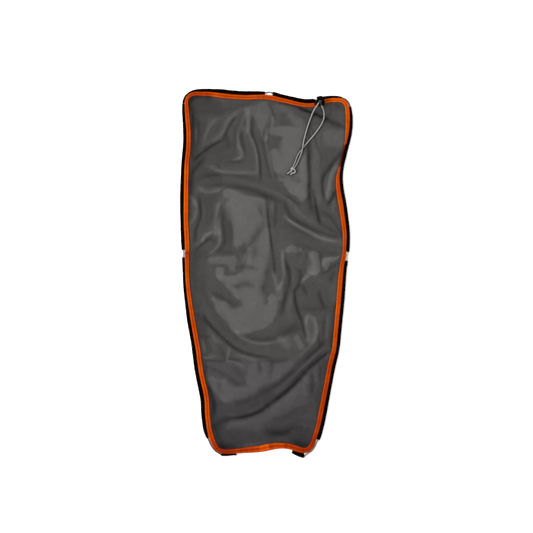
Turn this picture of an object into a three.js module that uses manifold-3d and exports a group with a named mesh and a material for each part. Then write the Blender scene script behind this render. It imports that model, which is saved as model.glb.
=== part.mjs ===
// A kayak's mesh deck cover, laid out flat with its wide end away from the viewer.
// A cut of fine mesh is bound all round with folded tape. Black sleeves sewn under the binding
// hold a shock cord, which runs bare between them and is gathered by a sprung cord lock.
// Millimetres, +Z up, +Y towards the wide end. The origin is on the surface that the cover lies on,
// in the middle of the cover.
import * as THREE from 'three';
import { mergeVertices } from 'three/addons/utils/BufferGeometryUtils.js';
import Module from 'manifold-3d';

const wasm = await Module();
wasm.setup();

// Driving dimensions
const GAP = 0.3; // between pieces that touch
const MESH = { thickness: 1.0, sag: 1.3 }; // the sheet, and how far it sags below its edge
const TAPE = { wall: 0.8, lap: 20 }; // the binding, folded
const SLEEVE = { height: 4.8, narrowest: 4.6, wall: 0.5, flange: 8, flangeThickness: 0.6 };
const CORD = { radius: 1.5, sides: 8, height: 2.4 }; // the shock cord, and its middle's height in a sleeve
const CORD_RUNS = { right: [78, 884], left: [1940, 905] }; // from the small sleeves up to the lock
const LOCK = { x: 110.2, y: 352.4, turn: 12, floor: 8.4, height: 9.6, width: 17 };
const BUTTON = { width: 12.4, thickness: 6, travel: 3.5, top: 11 };

// The binding lies on the sleeves' flanges, and the mesh lies in the binding's fold.
const tapeFloor = SLEEVE.flangeThickness + GAP;
const tapeSlot = MESH.thickness + 2 * GAP;
const tapeTop = tapeFloor + 2 * TAPE.wall + tapeSlot;
const meshEdgeFloor = tapeFloor + TAPE.wall + GAP;

// The binding's outer edge, anticlockwise from the tape's lap at the narrow end.
const EDGE = [
  { x: -12, y: -366 }, { x: 37, y: -359 }, { x: 76, y: -368 }, { x: 88, y: -365 },
  { x: 97, y: -355 }, { x: 104, y: -334 }, { x: 112, y: -306 }, { x: 132, y: -211 },
  { x: 142, y: -162 }, { x: 147, y: -113 }, { x: 159, y: 7 }, { x: 165, y: 48 },
  { x: 165, y: 84 }, { x: 159, y: 133 }, { x: 151, y: 180 }, { x: 151, y: 207 },
  { x: 160, y: 251 }, { x: 170, y: 292 }, { x: 172, y: 322 }, { x: 169, y: 347 },
  { x: 161, y: 357 }, { x: 148, y: 361 }, { x: 123, y: 359 }, { x: 96, y: 350 },
  { x: 74, y: 350 }, { x: 0, y: 367 }, { x: -44, y: 366 }, { x: -86, y: 370 },
  { x: -147, y: 373 }, { x: -162, y: 366 }, { x: -168, y: 354 }, { x: -165, y: 280 },
  { x: -169, y: 222 }, { x: -171, y: 110 }, { x: -168, y: 56 }, { x: -167, y: -14 },
  { x: -158, y: -88 }, { x: -137, y: -211 }, { x: -128, y: -257 }, { x: -126, y: -292 },
  { x: -119, y: -336 }, { x: -109, y: -358 }, { x: -96, y: -368 }, { x: -46, y: -368 },
];

// Where the mesh panel's four corners are, as distances along the edge.
const CORNERS = { narrowRight: 113, wideRight: 838, wideLeft: 1172, narrowLeft: 1903 };

// How wide the folded binding is, at distances along the edge. At the waist of the right side it is
// gathered and almost hidden by the mesh, and near its lap it lies flatter.
const TAPE_WIDTHS = [
  { s: 0, mm: 14.2 }, { s: 24, mm: 12.8 }, { s: 45, mm: 11.4 }, { s: 92, mm: 11.4 },
  { s: 124, mm: 8.6 }, { s: 200, mm: 9.4 }, { s: 430, mm: 10 }, { s: 470, mm: 10 },
  { s: 530, mm: 7.8 }, { s: 620, mm: 9.8 }, { s: 655, mm: 9 }, { s: 680, mm: 6 },
  { s: 702, mm: 2.8 }, { s: 735, mm: 2.6 }, { s: 760, mm: 6.4 }, { s: 785, mm: 8.8 },
  { s: 880, mm: 9.4 }, { s: 920, mm: 8.4 }, { s: 1000, mm: 9.6 }, { s: 1080, mm: 10 },
  { s: 1178, mm: 7.5 }, { s: 1220, mm: 9.4 }, { s: 1340, mm: 10 }, { s: 1490, mm: 9.8 },
  { s: 1535, mm: 8.4 }, { s: 1640, mm: 9.8 }, { s: 1860, mm: 10 }, { s: 1915, mm: 9.2 },
  { s: 1950, mm: 9.4 }, { s: 1972, mm: 11.8 }, { s: 1994, mm: 12 },
];

// Where the binding lies on top of the sleeves and cord, which are then tucked under it.
const RAISED = [
  { from: 803, to: 862 }, { from: 1132, to: 1232 }, { from: 1503, to: 1604 }, { from: 1885, to: 1958 },
];
const RAMP = 14; // how far the binding takes to climb onto a sleeve

// One row for each sleeve: the distances along the edge that it runs between, and how far its start
// and end stand off from the binding.
const SLEEVES = [
  { name: 'sleeve_bottom_right', from: 66, to: 91, stand: [0, 4] },
  { name: 'sleeve_right_lower', from: 132, to: 504, stand: [0, 0] },
  { name: 'sleeve_right_upper', from: 522, to: 823, stand: [0, 0] },
  { name: 'sleeve_top_right', from: 849, to: 884, stand: [0, 0] },
  { name: 'sleeve_top_middle', from: 905, to: 995, stand: [0, 0] },
  { name: 'sleeve_top_left', from: 1010, to: 1187.5, stand: [0, 0] },
  { name: 'sleeve_left_upper', from: 1191, to: 1491, stand: [0, 0] },
  { name: 'sleeve_left_lower', from: 1506, to: 1880, stand: [0, 0] },
  { name: 'sleeve_bottom_left', from: 1924, to: 1955, stand: [0, 0] },
];

// How far the sleeves reach out from the binding, at distances along the edge.
const REACH = [
  { s: 66, mm: 6.4 }, { s: 91, mm: 10 }, { s: 132, mm: 7 }, { s: 145, mm: 7.8 }, { s: 180, mm: 7 },
  { s: 240, mm: 5.6 }, { s: 290, mm: 4.9 }, { s: 330, mm: 6.8 }, { s: 410, mm: 7.2 },
  { s: 430, mm: 7.2 }, { s: 485, mm: 5.3 }, { s: 522, mm: 5 }, { s: 560, mm: 5.8 }, { s: 645, mm: 6.6 },
  { s: 700, mm: 5.8 }, { s: 750, mm: 6.2 }, { s: 785, mm: 5.2 }, { s: 803, mm: 4.6 },
  { s: 823, mm: 2.6 }, { s: 849, mm: 1.8 }, { s: 870, mm: 3.5 }, { s: 884, mm: 5.3 },
  { s: 908, mm: 8.4 }, { s: 950, mm: 7.6 }, { s: 982, mm: 6.3 }, { s: 1010, mm: 5 },
  { s: 1045, mm: 7.5 }, { s: 1085, mm: 6.2 }, { s: 1100, mm: 6.7 }, { s: 1142, mm: 3.9 },
  { s: 1170, mm: 1.8 }, { s: 1200, mm: 3.6 }, { s: 1250, mm: 5.2 }, { s: 1290, mm: 4.9 },
  { s: 1380, mm: 5.8 }, { s: 1435, mm: 4.9 }, { s: 1475, mm: 6.2 }, { s: 1506, mm: 4.8 },
  { s: 1538, mm: 3.5 }, { s: 1600, mm: 4.6 }, { s: 1635, mm: 5.6 }, { s: 1680, mm: 4.6 },
  { s: 1735, mm: 7.3 }, { s: 1800, mm: 7.2 }, { s: 1860, mm: 6.6 }, { s: 1880, mm: 5 },
  { s: 1924, mm: 3.3 }, { s: 1955, mm: 2.6 },
];

// How far the bare cord's middle stands from the binding, where it isn't in the middle of a sleeve.
const BARE = [
  { s: 98, u: 4.6 }, { s: 109, u: 2.8 }, { s: 120, u: 3.4 },
  { s: 513, u: 2.0 }, { s: 836, u: 0.8 },
  { s: 1000, u: 5.9 }, { s: 1005, u: 4.6 },
  { s: 1498, u: 2.0 }, { s: 1892, u: 0.7 }, { s: 1907, u: 0.7 },
];

// The main folds of the mesh, one row each: a crease from one point through the pull of a second to a
// third, its half width, and its rise, which is below zero for a trough.
const FOLDS = [
  { x0: 48, y0: 342, x1: 100, y1: 324, x2: 146, y2: 298, half: 10, rise: -3.5 },
  { x0: 5, y0: 340, x1: 12, y1: 325, x2: 24, y2: 308, half: 9, rise: -2 },
  { x0: -40, y0: 325, x1: -35, y1: 270, x2: -20, y2: 205, half: 9, rise: 3 },
  { x0: -8, y0: 320, x1: -2, y1: 262, x2: 20, y2: 190, half: 9, rise: 3 },
  { x0: -78, y0: 325, x1: -100, y1: 290, x2: -148, y2: 252, half: 12, rise: 3 },
  { x0: -56, y0: 325, x1: -88, y1: 272, x2: -150, y2: 232, half: 10, rise: -3.5 },
  { x0: -62, y0: 298, x1: -42, y1: 255, x2: -72, y2: 228, half: 10, rise: 4 },
  { x0: -125, y0: 208, x1: -60, y1: 212, x2: -12, y2: 210, half: 10, rise: 3.5 },
  { x0: -130, y0: 192, x1: -40, y1: 185, x2: 60, y2: 130, half: 12, rise: -3 },
  { x0: -140, y0: 180, x1: -40, y1: 160, x2: 20, y2: 140, half: 12, rise: 3 },
  { x0: 2, y0: 150, x1: 8, y1: 50, x2: 26, y2: -30, half: 10, rise: -3.5 },
  { x0: 86, y0: 300, x1: 88, y1: 230, x2: 92, y2: 145, half: 12, rise: -3.5 },
  { x0: 104, y0: 292, x1: 108, y1: 230, x2: 114, y2: 130, half: 11, rise: 3 },
  { x0: 152, y0: 240, x1: 108, y1: 205, x2: 124, y2: 145, half: 10, rise: -3 },
  { x0: 136, y0: 215, x1: 124, y1: 190, x2: 140, y2: 160, half: 10, rise: 4 },
  { x0: 40, y0: 118, x1: 80, y1: 88, x2: 142, y2: 62, half: 10, rise: 5 },
  { x0: 50, y0: 130, x1: 92, y1: 106, x2: 142, y2: 84, half: 9, rise: -3 },
  { x0: -146, y0: 300, x1: -150, y1: 270, x2: -146, y2: 235, half: 10, rise: 2.5 },
  { x0: -138, y0: 150, x1: -138, y1: 110, x2: -146, y2: 73, half: 10, rise: -3 },
  { x0: -100, y0: 135, x1: -85, y1: 80, x2: -115, y2: 35, half: 11, rise: 3.5 },
  { x0: -10, y0: 105, x1: -35, y1: 65, x2: -58, y2: 42, half: 12, rise: -2 },
  { x0: 32, y0: 45, x1: 42, y1: -45, x2: -45, y2: -130, half: 13, rise: 4.5 },
  { x0: 42, y0: 36, x1: 54, y1: -20, x2: 36, y2: -85, half: 10, rise: -3.5 },
  { x0: 68, y0: 10, x1: 55, y1: -50, x2: 82, y2: -145, half: 10, rise: -3.5 },
  { x0: 92, y0: -85, x1: 96, y1: -110, x2: 92, y2: -135, half: 13, rise: 3.5 },
  { x0: -130, y0: -88, x1: -60, y1: -170, x2: 55, y2: -178, half: 11, rise: -3.5 },
  { x0: -105, y0: -85, x1: -30, y1: -155, x2: 70, y2: -132, half: 13, rise: 4 },
  { x0: 110, y0: -140, x1: 20, y1: -210, x2: -90, y2: -270, half: 16, rise: 4 },
  { x0: 122, y0: -165, x1: 40, y1: -215, x2: -88, y2: -297, half: 11, rise: -4.5 },
  { x0: -118, y0: -197, x1: -90, y1: -205, x2: -50, y2: -225, half: 11, rise: -2.5 },
  { x0: -5, y0: -322, x1: 20, y1: -326, x2: 48, y2: -320, half: 11, rise: -2.5 },
];

const MATERIALS = {
  mesh: new THREE.MeshStandardMaterial({ color: 0x4d4b49, roughness: 0.85, metalness: 0 }),
  tape: new THREE.MeshStandardMaterial({ color: 0xd84a05, roughness: 0.7, metalness: 0 }),
  sleeve: new THREE.MeshStandardMaterial({ color: 0x0e0d0d, roughness: 0.85, metalness: 0 }),
  cord: new THREE.MeshStandardMaterial({ color: 0x9a9c9b, roughness: 0.75, metalness: 0 }),
  plastic: new THREE.MeshStandardMaterial({ color: 0x0b0b0c, roughness: 0.45, metalness: 0 }),
};

const cover = new THREE.Group();

function addPiece(name, geometry, material) {
  const piece = new THREE.Mesh(geometry, material);
  piece.name = name;
  cover.add(piece);
}

// Small helpers

const mix = (a, b, t) => a + (b - a) * t;
const clamp = (v, low, high) => Math.min(high, Math.max(low, v));

function smooth(t) {
  const c = clamp(t, 0, 1);
  return c * c * (3 - 2 * c);
}

// Reads a table of distances and sizes at a distance, in straight lines between its rows.
function readTable(rows, s) {
  const next = rows.findIndex((row) => row.s > s);
  if (next < 1) return rows.at(next).mm;
  const [a, b] = [rows[next - 1], rows[next]];
  return mix(a.mm, b.mm, (s - a.s) / (b.s - a.s));
}

function geometryOf(points, triangles) {
  const geometry = new THREE.BufferGeometry();
  geometry.setAttribute('position', new THREE.Float32BufferAttribute(points.flat(), 3));
  geometry.setIndex(triangles.flat());
  return geometry;
}

function toSolid(geometry) {
  const plain = geometry.clone();
  plain.deleteAttribute('normal');
  plain.deleteAttribute('uv');
  const merged = mergeVertices(plain, 1e-3);
  return new wasm.Manifold(new wasm.Mesh({
    numProp: 3,
    vertProperties: merged.attributes.position.array,
    triVerts: new Uint32Array(merged.index.array),
  }));
}

function fromSolid(solid) {
  const mesh = solid.getMesh();
  const geometry = new THREE.BufferGeometry();
  geometry.setAttribute('position', new THREE.BufferAttribute(mesh.vertProperties, 3));
  geometry.setIndex(new THREE.BufferAttribute(mesh.triVerts, 1));
  return geometry;
}

// The edge

const edgeCurve = new THREE.CatmullRomCurve3(
  EDGE.map(({ x, y }) => new THREE.Vector3(x, y, 0)), true, 'centripetal',
);
edgeCurve.arcLengthDivisions = 4000;
const edgeLength = edgeCurve.getLength();

// The point at a distance s along the edge, moved outwards by u, and lifted to z.
function atEdge(s, u, z) {
  const part = lapped(s) / edgeLength;
  const point = edgeCurve.getPointAt(part);
  const along = edgeCurve.getTangentAt(part);
  return [point.x + u * along.y, point.y - u * along.x, z];
}

// Every sweep takes its rings from one list of stations, so that neighbouring pieces turn together.
// It has the ends of the sleeves and cords and, between them, stations that are closer where the edge
// turns.
function edgeStations() {
  const fine = 2;
  const longest = 21;
  const mostTurn = 0.26;
  const clear = 4;
  const ends = SLEEVES.flatMap(({ from, to }) => [from, to]);
  const fixed = [
    ...ends,
    ...BARE.map(({ s }) => s),
    ...Object.values(CORD_RUNS).map(([start]) => start),
    ...RAISED.flatMap(({ from, to }) => [from - RAMP, from - RAMP / 2, from, to, to + RAMP / 2, to + RAMP])
      .filter((s) => ends.every((end) => Math.abs(end - s) > 3)),
  ];
  const stations = [0, ...fixed];
  let run = 0;
  let turn = 0;
  for (let s = fine; s < edgeLength; s += fine) {
    const before = edgeCurve.getTangentAt((s - fine) / edgeLength);
    const after = edgeCurve.getTangentAt(s / edgeLength);
    run += fine;
    turn += before.angleTo(after);
    if (fixed.some((at) => Math.abs(at - s) < clear)) {
      run = 0;
      turn = 0;
    } else if (run >= longest || turn >= mostTurn) {
      stations.push(s);
      run = 0;
      turn = 0;
    }
  }
  return stations.sort((a, b) => a - b);
}

const STATIONS = edgeStations();

function stationsBetween(from, to) {
  return [from, ...STATIONS.filter((s) => s > from && s < to), to];
}

const lapped = (s) => ((s % edgeLength) + edgeLength) % edgeLength;
const tapeWidth = (s) => readTable([...TAPE_WIDTHS, { ...TAPE_WIDTHS[0], s: edgeLength }], lapped(s));

// How high the binding is raised at a distance along the edge, from 0 to 1, and how much of a sleeve's
// narrowness may be tucked under it.
function raisedAt(s) {
  return Math.max(...RAISED.map(({ from, to }) => {
    const outside = Math.max(from - lapped(s), lapped(s) - to, 0);
    return 1 - smooth(outside / RAMP);
  }));
}

function tuckedAt(s) {
  return Math.max(...RAISED.map(({ from, to }) => smooth(Math.min(s - from, to - s) / 9)));
}

const raisedHeight = SLEEVE.height - SLEEVE.flangeThickness;
const lift = (s) => raisedHeight * raisedAt(s);

// A section, outlined anticlockwise as u and z, carried along a stretch of the edge. section(s) gives
// its outer outline and, where it is hollow, its inner one.
function sweepEdge(stations, section) {
  const rings = stations.map((s) => {
    const { outer, inner = [] } = section(s);
    return { s, outer, inner };
  });
  const outerCount = rings[0].outer.length;
  const innerCount = rings[0].inner.length;
  const ringCount = outerCount + innerCount;
  const points = rings.flatMap(({ s, outer, inner }) => (
    [...outer, ...inner].map(([u, z]) => atEdge(s, u, z))
  ));
  const triangles = [];
  const wall = (ring, start, count, outwards) => {
    for (let j = 0; j < count; j += 1) {
      const a = ring * ringCount + start + j;
      const b = ring * ringCount + start + ((j + 1) % count);
      const c = a + ringCount;
      const d = b + ringCount;
      if (outwards) triangles.push([a, c, d], [a, d, b]);
      else triangles.push([a, d, c], [a, b, d]);
    }
  };
  for (let ring = 0; ring < rings.length - 1; ring += 1) {
    wall(ring, 0, outerCount, true);
    wall(ring, outerCount, innerCount, false);
  }
  for (const [ring, turned] of [[0, false], [rings.length - 1, true]]) {
    const toVector = ([u, z]) => new THREE.Vector2(u, z);
    const outer = rings[ring].outer.map(toVector);
    const inner = rings[ring].inner.map(toVector);
    const all = [...outer, ...inner];
    const holes = innerCount ? [inner] : [];
    for (const face of THREE.ShapeUtils.triangulateShape(outer, holes)) {
      const corners = face.map((i) => all[i]);
      const clockwise = THREE.ShapeUtils.area(corners) < 0;
      const [a, b, c] = face.map((i) => ring * ringCount + i);
      triangles.push(clockwise === turned ? [a, b, c] : [a, c, b]);
    }
  }
  return geometryOf(points, triangles);
}

// The mesh panel

function foldHeight(x, y) {
  const steps = 10;
  let height = -MESH.sag;
  for (const { x0, y0, x1, y1, x2, y2, half, rise } of FOLDS) {
    let nearest = Infinity;
    let at = 0;
    for (let i = 0; i <= steps; i += 1) {
      const t = i / steps;
      const px = mix(mix(x0, x1, t), mix(x1, x2, t), t);
      const py = mix(mix(y0, y1, t), mix(y1, y2, t), t);
      const far = Math.hypot(x - px, y - py);
      if (far < nearest) {
        nearest = far;
        at = t;
      }
    }
    const fade = 0.35 + 0.65 * smooth(3 * Math.min(at, 1 - at));
    height += rise * fade * Math.exp(-((nearest / half) ** 2));
  }
  return height;
}

// A patch between the four sides of the edge, inset from it: across goes from left to right and up
// from the narrow end to the wide end, both from 0 to 1.
const sideAt = {
  narrow: (across) => mix(CORNERS.narrowLeft, CORNERS.narrowRight + edgeLength, across),
  wide: (across) => mix(CORNERS.wideLeft, CORNERS.wideRight, across),
  left: (up) => mix(CORNERS.narrowLeft, CORNERS.wideLeft, up),
  right: (up) => mix(CORNERS.narrowRight, CORNERS.wideRight, up),
};

function patchPoint(across, up, insetAt) {
  const { narrowRight, wideRight, wideLeft, narrowLeft } = CORNERS;
  const inset = (s) => atEdge(s, -insetAt(s), 0);
  const narrow = inset(sideAt.narrow(across));
  const wide = inset(sideAt.wide(across));
  const left = inset(sideAt.left(up));
  const right = inset(sideAt.right(up));
  const corners = [narrowLeft, narrowRight, wideLeft, wideRight].map(inset);
  return [0, 1].map((k) => (
    mix(narrow[k], wide[k], up) + mix(left[k], right[k], across)
    - mix(mix(corners[0][k], corners[1][k], across), mix(corners[2][k], corners[3][k], across), up)
  ));
}

// The edge carries the sheet up with it where it is raised.
function carried(across, up) {
  const fade = { across: 0.08, up: 0.035 };
  return Math.max(
    lift(sideAt.left(up)) * (1 - smooth(across / fade.across)),
    lift(sideAt.right(up)) * (1 - smooth((1 - across) / fade.across)),
    lift(sideAt.narrow(across)) * (1 - smooth(up / fade.up)),
    lift(sideAt.wide(across)) * (1 - smooth((1 - up) / fade.up)),
  );
}

// Joins two closed rings of places, both anticlockwise and each place with its distance along the edge,
// with triangles that take whichever ring's next place comes first.
function zipRings(outer, inner, addFace) {
  const sorted = (ring) => {
    const turn = ring.map(({ s, place }) => ({ s: lapped(s), place })).sort((a, b) => a.s - b.s);
    return [...turn, { s: turn[0].s + edgeLength, place: turn[0].place }];
  };
  const [a, b] = [sorted(outer), sorted(inner)];
  let i = 0;
  let j = 0;
  while (i < a.length - 1 || j < b.length - 1) {
    if (j === b.length - 1 || (i < a.length - 1 && a[i + 1].s <= b[j + 1].s)) {
      addFace(a[i].place, a[i + 1].place, b[j].place);
      i += 1;
    } else {
      addFace(a[i].place, b[j + 1].place, b[j].place);
      j += 1;
    }
  }
}

function meshPanel() {
  const cells = { across: 18, up: 40 };
  const edgeInset = (s) => Math.min(TAPE.wall + 1.8, tapeWidth(s) - 1);
  const flatInset = (s) => tapeWidth(s) + 1.5;
  const gridInset = (s) => flatInset(s) + 4;
  const fadeWidth = { across: 0.05, up: 0.022 };
  const points = [];
  const triangles = [];
  // Each place on the sheet gives a point below and a point above it.
  const addPlace = (x, y, floor) => {
    points.push([x, y, floor], [x, y, floor + MESH.thickness]);
    return points.length - 2;
  };
  // A face given anticlockwise from above, on the sheet's top and again on its underside.
  const addFace = (a, b, c) => {
    triangles.push([a + 1, b + 1, c + 1], [a, c, b]);
  };
  const ring = (insetAt) => STATIONS.map((s) => {
    const [x, y] = atEdge(s, -insetAt(s), 0);
    return { s, place: addPlace(x, y, meshEdgeFloor + lift(s)) };
  });
  const outer = ring(edgeInset);
  const flat = ring(flatInset);
  outer.forEach(({ place: a }, k) => {
    const next = (k + 1) % outer.length;
    const b = outer[next].place;
    triangles.push([a, b, b + 1], [a, b + 1, a + 1]);
    addFace(a, b, flat[next].place);
    addFace(a, flat[next].place, flat[k].place);
  });
  const grid = [];
  for (let j = 0; j <= cells.up; j += 1) {
    grid.push([]);
    for (let i = 0; i <= cells.across; i += 1) {
      const across = i / cells.across;
      const up = j / cells.up;
      const [x, y] = patchPoint(across, up, gridInset);
      const inwards = smooth(Math.min(across, 1 - across) / fadeWidth.across)
        * smooth(Math.min(up, 1 - up) / fadeWidth.up);
      const floor = Math.max(0, meshEdgeFloor + inwards * foldHeight(x, y)) + carried(across, up);
      grid[j].push(addPlace(x, y, floor));
    }
  }
  const border = [];
  for (let i = 0; i < cells.across; i += 1) {
    border.push({ s: sideAt.narrow(i / cells.across), place: grid[0][i] });
    border.push({ s: sideAt.wide(i / cells.across), place: grid[cells.up][i] });
  }
  for (let j = 0; j < cells.up; j += 1) {
    if (j > 0) border.push({ s: sideAt.left(j / cells.up), place: grid[j][0] });
    border.push({ s: sideAt.right(j / cells.up), place: grid[j][cells.across] });
  }
  border.push({ s: CORNERS.wideRight, place: grid[cells.up][cells.across] });
  zipRings(flat, border, addFace);
  for (let j = 0; j < cells.up; j += 1) {
    for (let i = 0; i < cells.across; i += 1) {
      addFace(grid[j][i], grid[j][i + 1], grid[j + 1][i + 1]);
      addFace(grid[j][i], grid[j + 1][i + 1], grid[j + 1][i]);
    }
  }
  return geometryOf(points, triangles);
}

// The binding: a tape folded over the mesh's edge, whose end laps over its start.

function binding() {
  const { wall, lap } = TAPE;
  const fold = (s) => {
    const width = tapeWidth(s);
    const low = tapeFloor + lift(s);
    const high = tapeTop + lift(s);
    return {
      outer: [
        [-width, low], [0, low], [0, high], [-width, high],
        [-width, high - wall], [-wall, high - wall], [-wall, low + wall], [-width, low + wall],
      ],
    };
  };
  const tape = sweepEdge(stationsBetween(0, edgeLength - GAP), fold);
  const lapStart = edgeLength - 8;
  const lapHeight = wall + GAP;
  const lapStations = [0, 4, 8, 12, lap + 8].map((d) => lapStart + d);
  const end = sweepEdge(lapStations, (s) => {
    const climb = lapHeight * smooth((s - lapStart) / 7);
    const low = tapeTop - wall + climb + 0.1 * (1 - climb / lapHeight);
    const inner = 0.5 - tapeWidth(s);
    return { outer: [[inner, low], [-0.4, low], [-0.4, low + wall - 0.1], [inner, low + wall - 0.1]] };
  });
  return fromSolid(toSolid(tape).add(toSolid(end)));
}

// The sleeves: a tape folded round the cord, with its two edges sewn together as a flange.

function reachOf({ from, to, stand }, s) {
  const off = mix(stand[0], stand[1], (s - from) / (to - from));
  const reach = readTable(REACH, s);
  const tuck = Math.max(0, SLEEVE.narrowest + GAP - reach) * tuckedAt(s);
  const near = GAP + off - tuck;
  return { near, far: Math.max(reach, near + SLEEVE.narrowest) };
}

function sleeve(row) {
  const { height, wall, flange, flangeThickness } = SLEEVE;
  return sweepEdge(stationsBetween(row.from, row.to), (s) => {
    const { near, far } = reachOf(row, s);
    const bevel = 1.3;
    const slant = 0.45;
    const tuck = near - flange;
    const low = lift(s) - 0.1 * raisedAt(s); // the flange is sewn under the binding, and rises with it
    const shoulder = mix(height - bevel, height - 0.05, raisedAt(s));
    const inside = { left: near + wall, right: far - wall, low: wall + 0.05, high: height - wall - 0.05 };
    const middle = height / 2;
    return {
      outer: [
        [tuck, low], [near, low], [near + 0.4, 0], [far - bevel, 0], [far, bevel],
        [far, height - bevel], [far - bevel, height], [near + bevel, height], [near, shoulder],
        [near, low + flangeThickness], [tuck, low + flangeThickness],
      ],
      inner: [
        [inside.left + slant, inside.low], [inside.right - slant, inside.low], [inside.right, middle],
        [inside.right - slant, inside.high], [inside.left + slant, inside.high], [inside.left, middle],
      ],
    };
  });
}

// The shock cord's runs in the sleeves

function cordDistance(s) {
  const row = SLEEVES.find(({ from, to }) => s >= from && s <= to);
  if (row) {
    const { near, far } = reachOf(row, s);
    return mix(near, far, 0.5);
  }
  const sleeveEnds = SLEEVES.flatMap(({ from, to }) => [from, to]);
  const knots = [...BARE, ...sleeveEnds.map((end) => ({ s: end, u: cordDistance(end) }))];
  knots.sort((a, b) => a.s - b.s);
  const next = knots.findIndex((knot) => knot.s > s);
  const [a, b] = [knots[next - 1], knots[next]];
  return mix(a.u, b.u, (s - a.s) / (b.s - a.s));
}

// A closed tube through points, each ring square to the way the cord runs there.
function tube(points, radius, sides) {
  const line = points.map((p) => new THREE.Vector3(...p));
  const steps = line.slice(1).map((p, i) => p.clone().sub(line[i]).normalize());
  const runs = line.map((_, i) => (
    (steps[i - 1] ?? steps[i]).clone().add(steps[i] ?? steps[i - 1]).normalize()
  ));
  let side = new THREE.Vector3(0, 0, 1).cross(runs[0]);
  if (side.length() < 0.1) side = new THREE.Vector3(1, 0, 0).cross(runs[0]);
  const vertices = [];
  line.forEach((centre, i) => {
    side.addScaledVector(runs[i], -side.dot(runs[i])).normalize();
    const up = runs[i].clone().cross(side);
    for (let k = 0; k < sides; k += 1) {
      const angle = (k / sides) * 2 * Math.PI;
      const vertex = centre.clone()
        .addScaledVector(side, radius * Math.cos(angle))
        .addScaledVector(up, radius * Math.sin(angle));
      vertices.push(vertex.toArray());
    }
  });
  const triangles = [];
  const last = (line.length - 1) * sides;
  for (let ring = 0; ring < line.length - 1; ring += 1) {
    for (let k = 0; k < sides; k += 1) {
      const a = ring * sides + k;
      const b = ring * sides + ((k + 1) % sides);
      triangles.push([a, b, b + sides], [a, b + sides, a + sides]);
    }
  }
  for (let k = 1; k < sides - 1; k += 1) {
    triangles.push([0, k + 1, k], [last, last + k, last + k + 1]);
  }
  return geometryOf(vertices, triangles);
}

// Between its last sleeve and the lock's slot the cord climbs over the binding.
const LOCK_ENTRY = [
  { u: 3.9, z: 2.5, d: 8.4 }, { u: 3.2, z: 4.2, d: 6.2 }, { u: 1.8, z: 5.8, d: 4.4 },
];

function cordRun([from, to], slotSide) {
  const { radius, sides, height } = CORD;
  const all = stationsBetween(Math.min(from, to), Math.max(from, to));
  if (from > to) all.reverse();
  const points = all.map((s) => atEdge(s, cordDistance(s), height));
  const lockAt = 895.5;
  for (const { u, z, d } of LOCK_ENTRY) points.push(atEdge(lockAt - slotSide * d, u, z));
  points.push(...SLOT_RISE.map(([across, out, z]) => lockPoint(across * slotSide, out, z)));
  return tube(points, radius, sides);
}

// The cord lock. Its own x goes across it and its own y goes out towards its button.

const lockTurn = THREE.MathUtils.degToRad(LOCK.turn);
const SLOT = { across: 3.7, out: 1.9, spacing: 1.75 }; // half sizes, and each cord's distance from the middle

function lockPoint(across, out, z) {
  const x = LOCK.x + across * Math.cos(lockTurn) - out * Math.sin(lockTurn);
  const y = LOCK.y + across * Math.sin(lockTurn) + out * Math.cos(lockTurn);
  return [x, y, z];
}

// The cord's middle line from above the binding up into the slot.
const SLOT_RISE = [
  [SLOT.spacing + 0.9, 1.6, 6.2], [SLOT.spacing + 0.2, 0.4, 7.0],
  [SLOT.spacing, 0.02, 8.4], [SLOT.spacing, 0, 11], [SLOT.spacing, 0, 14.6],
];

// A slab with a rounded outline in the lock's own x and y, and rounded edges above and below.
function slab(left, right, inner, outer, low, high, corner, bevel) {
  const shape = new THREE.Shape();
  const x0 = left + bevel;
  const x1 = right - bevel;
  const y0 = inner + bevel;
  const y1 = outer - bevel;
  const r = corner - bevel;
  shape.moveTo(x0 + r, y0);
  shape.lineTo(x1 - r, y0);
  shape.absarc(x1 - r, y0 + r, r, -Math.PI / 2, 0, false);
  shape.lineTo(x1, y1 - r);
  shape.absarc(x1 - r, y1 - r, r, 0, Math.PI / 2, false);
  shape.lineTo(x0 + r, y1);
  shape.absarc(x0 + r, y1 - r, r, Math.PI / 2, Math.PI, false);
  shape.lineTo(x0, y0 + r);
  shape.absarc(x0 + r, y0 + r, r, Math.PI, 1.5 * Math.PI, false);
  const geometry = new THREE.ExtrudeGeometry(shape, {
    depth: high - low - 2 * bevel,
    bevelEnabled: bevel > 0,
    bevelSize: bevel,
    bevelThickness: bevel,
    bevelSegments: 2,
    curveSegments: 4,
  });
  return toSolid(geometry.translate(0, 0, low + bevel));
}

function block(left, right, inner, outer, low, high) {
  const geometry = new THREE.BoxGeometry(right - left, outer - inner, high - low);
  return toSolid(geometry.translate((left + right) / 2, (inner + outer) / 2, (low + high) / 2));
}

function placeLock(solid) {
  const geometry = fromSolid(solid);
  geometry.rotateZ(lockTurn);
  return geometry.translate(LOCK.x, LOCK.y, 0);
}

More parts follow.
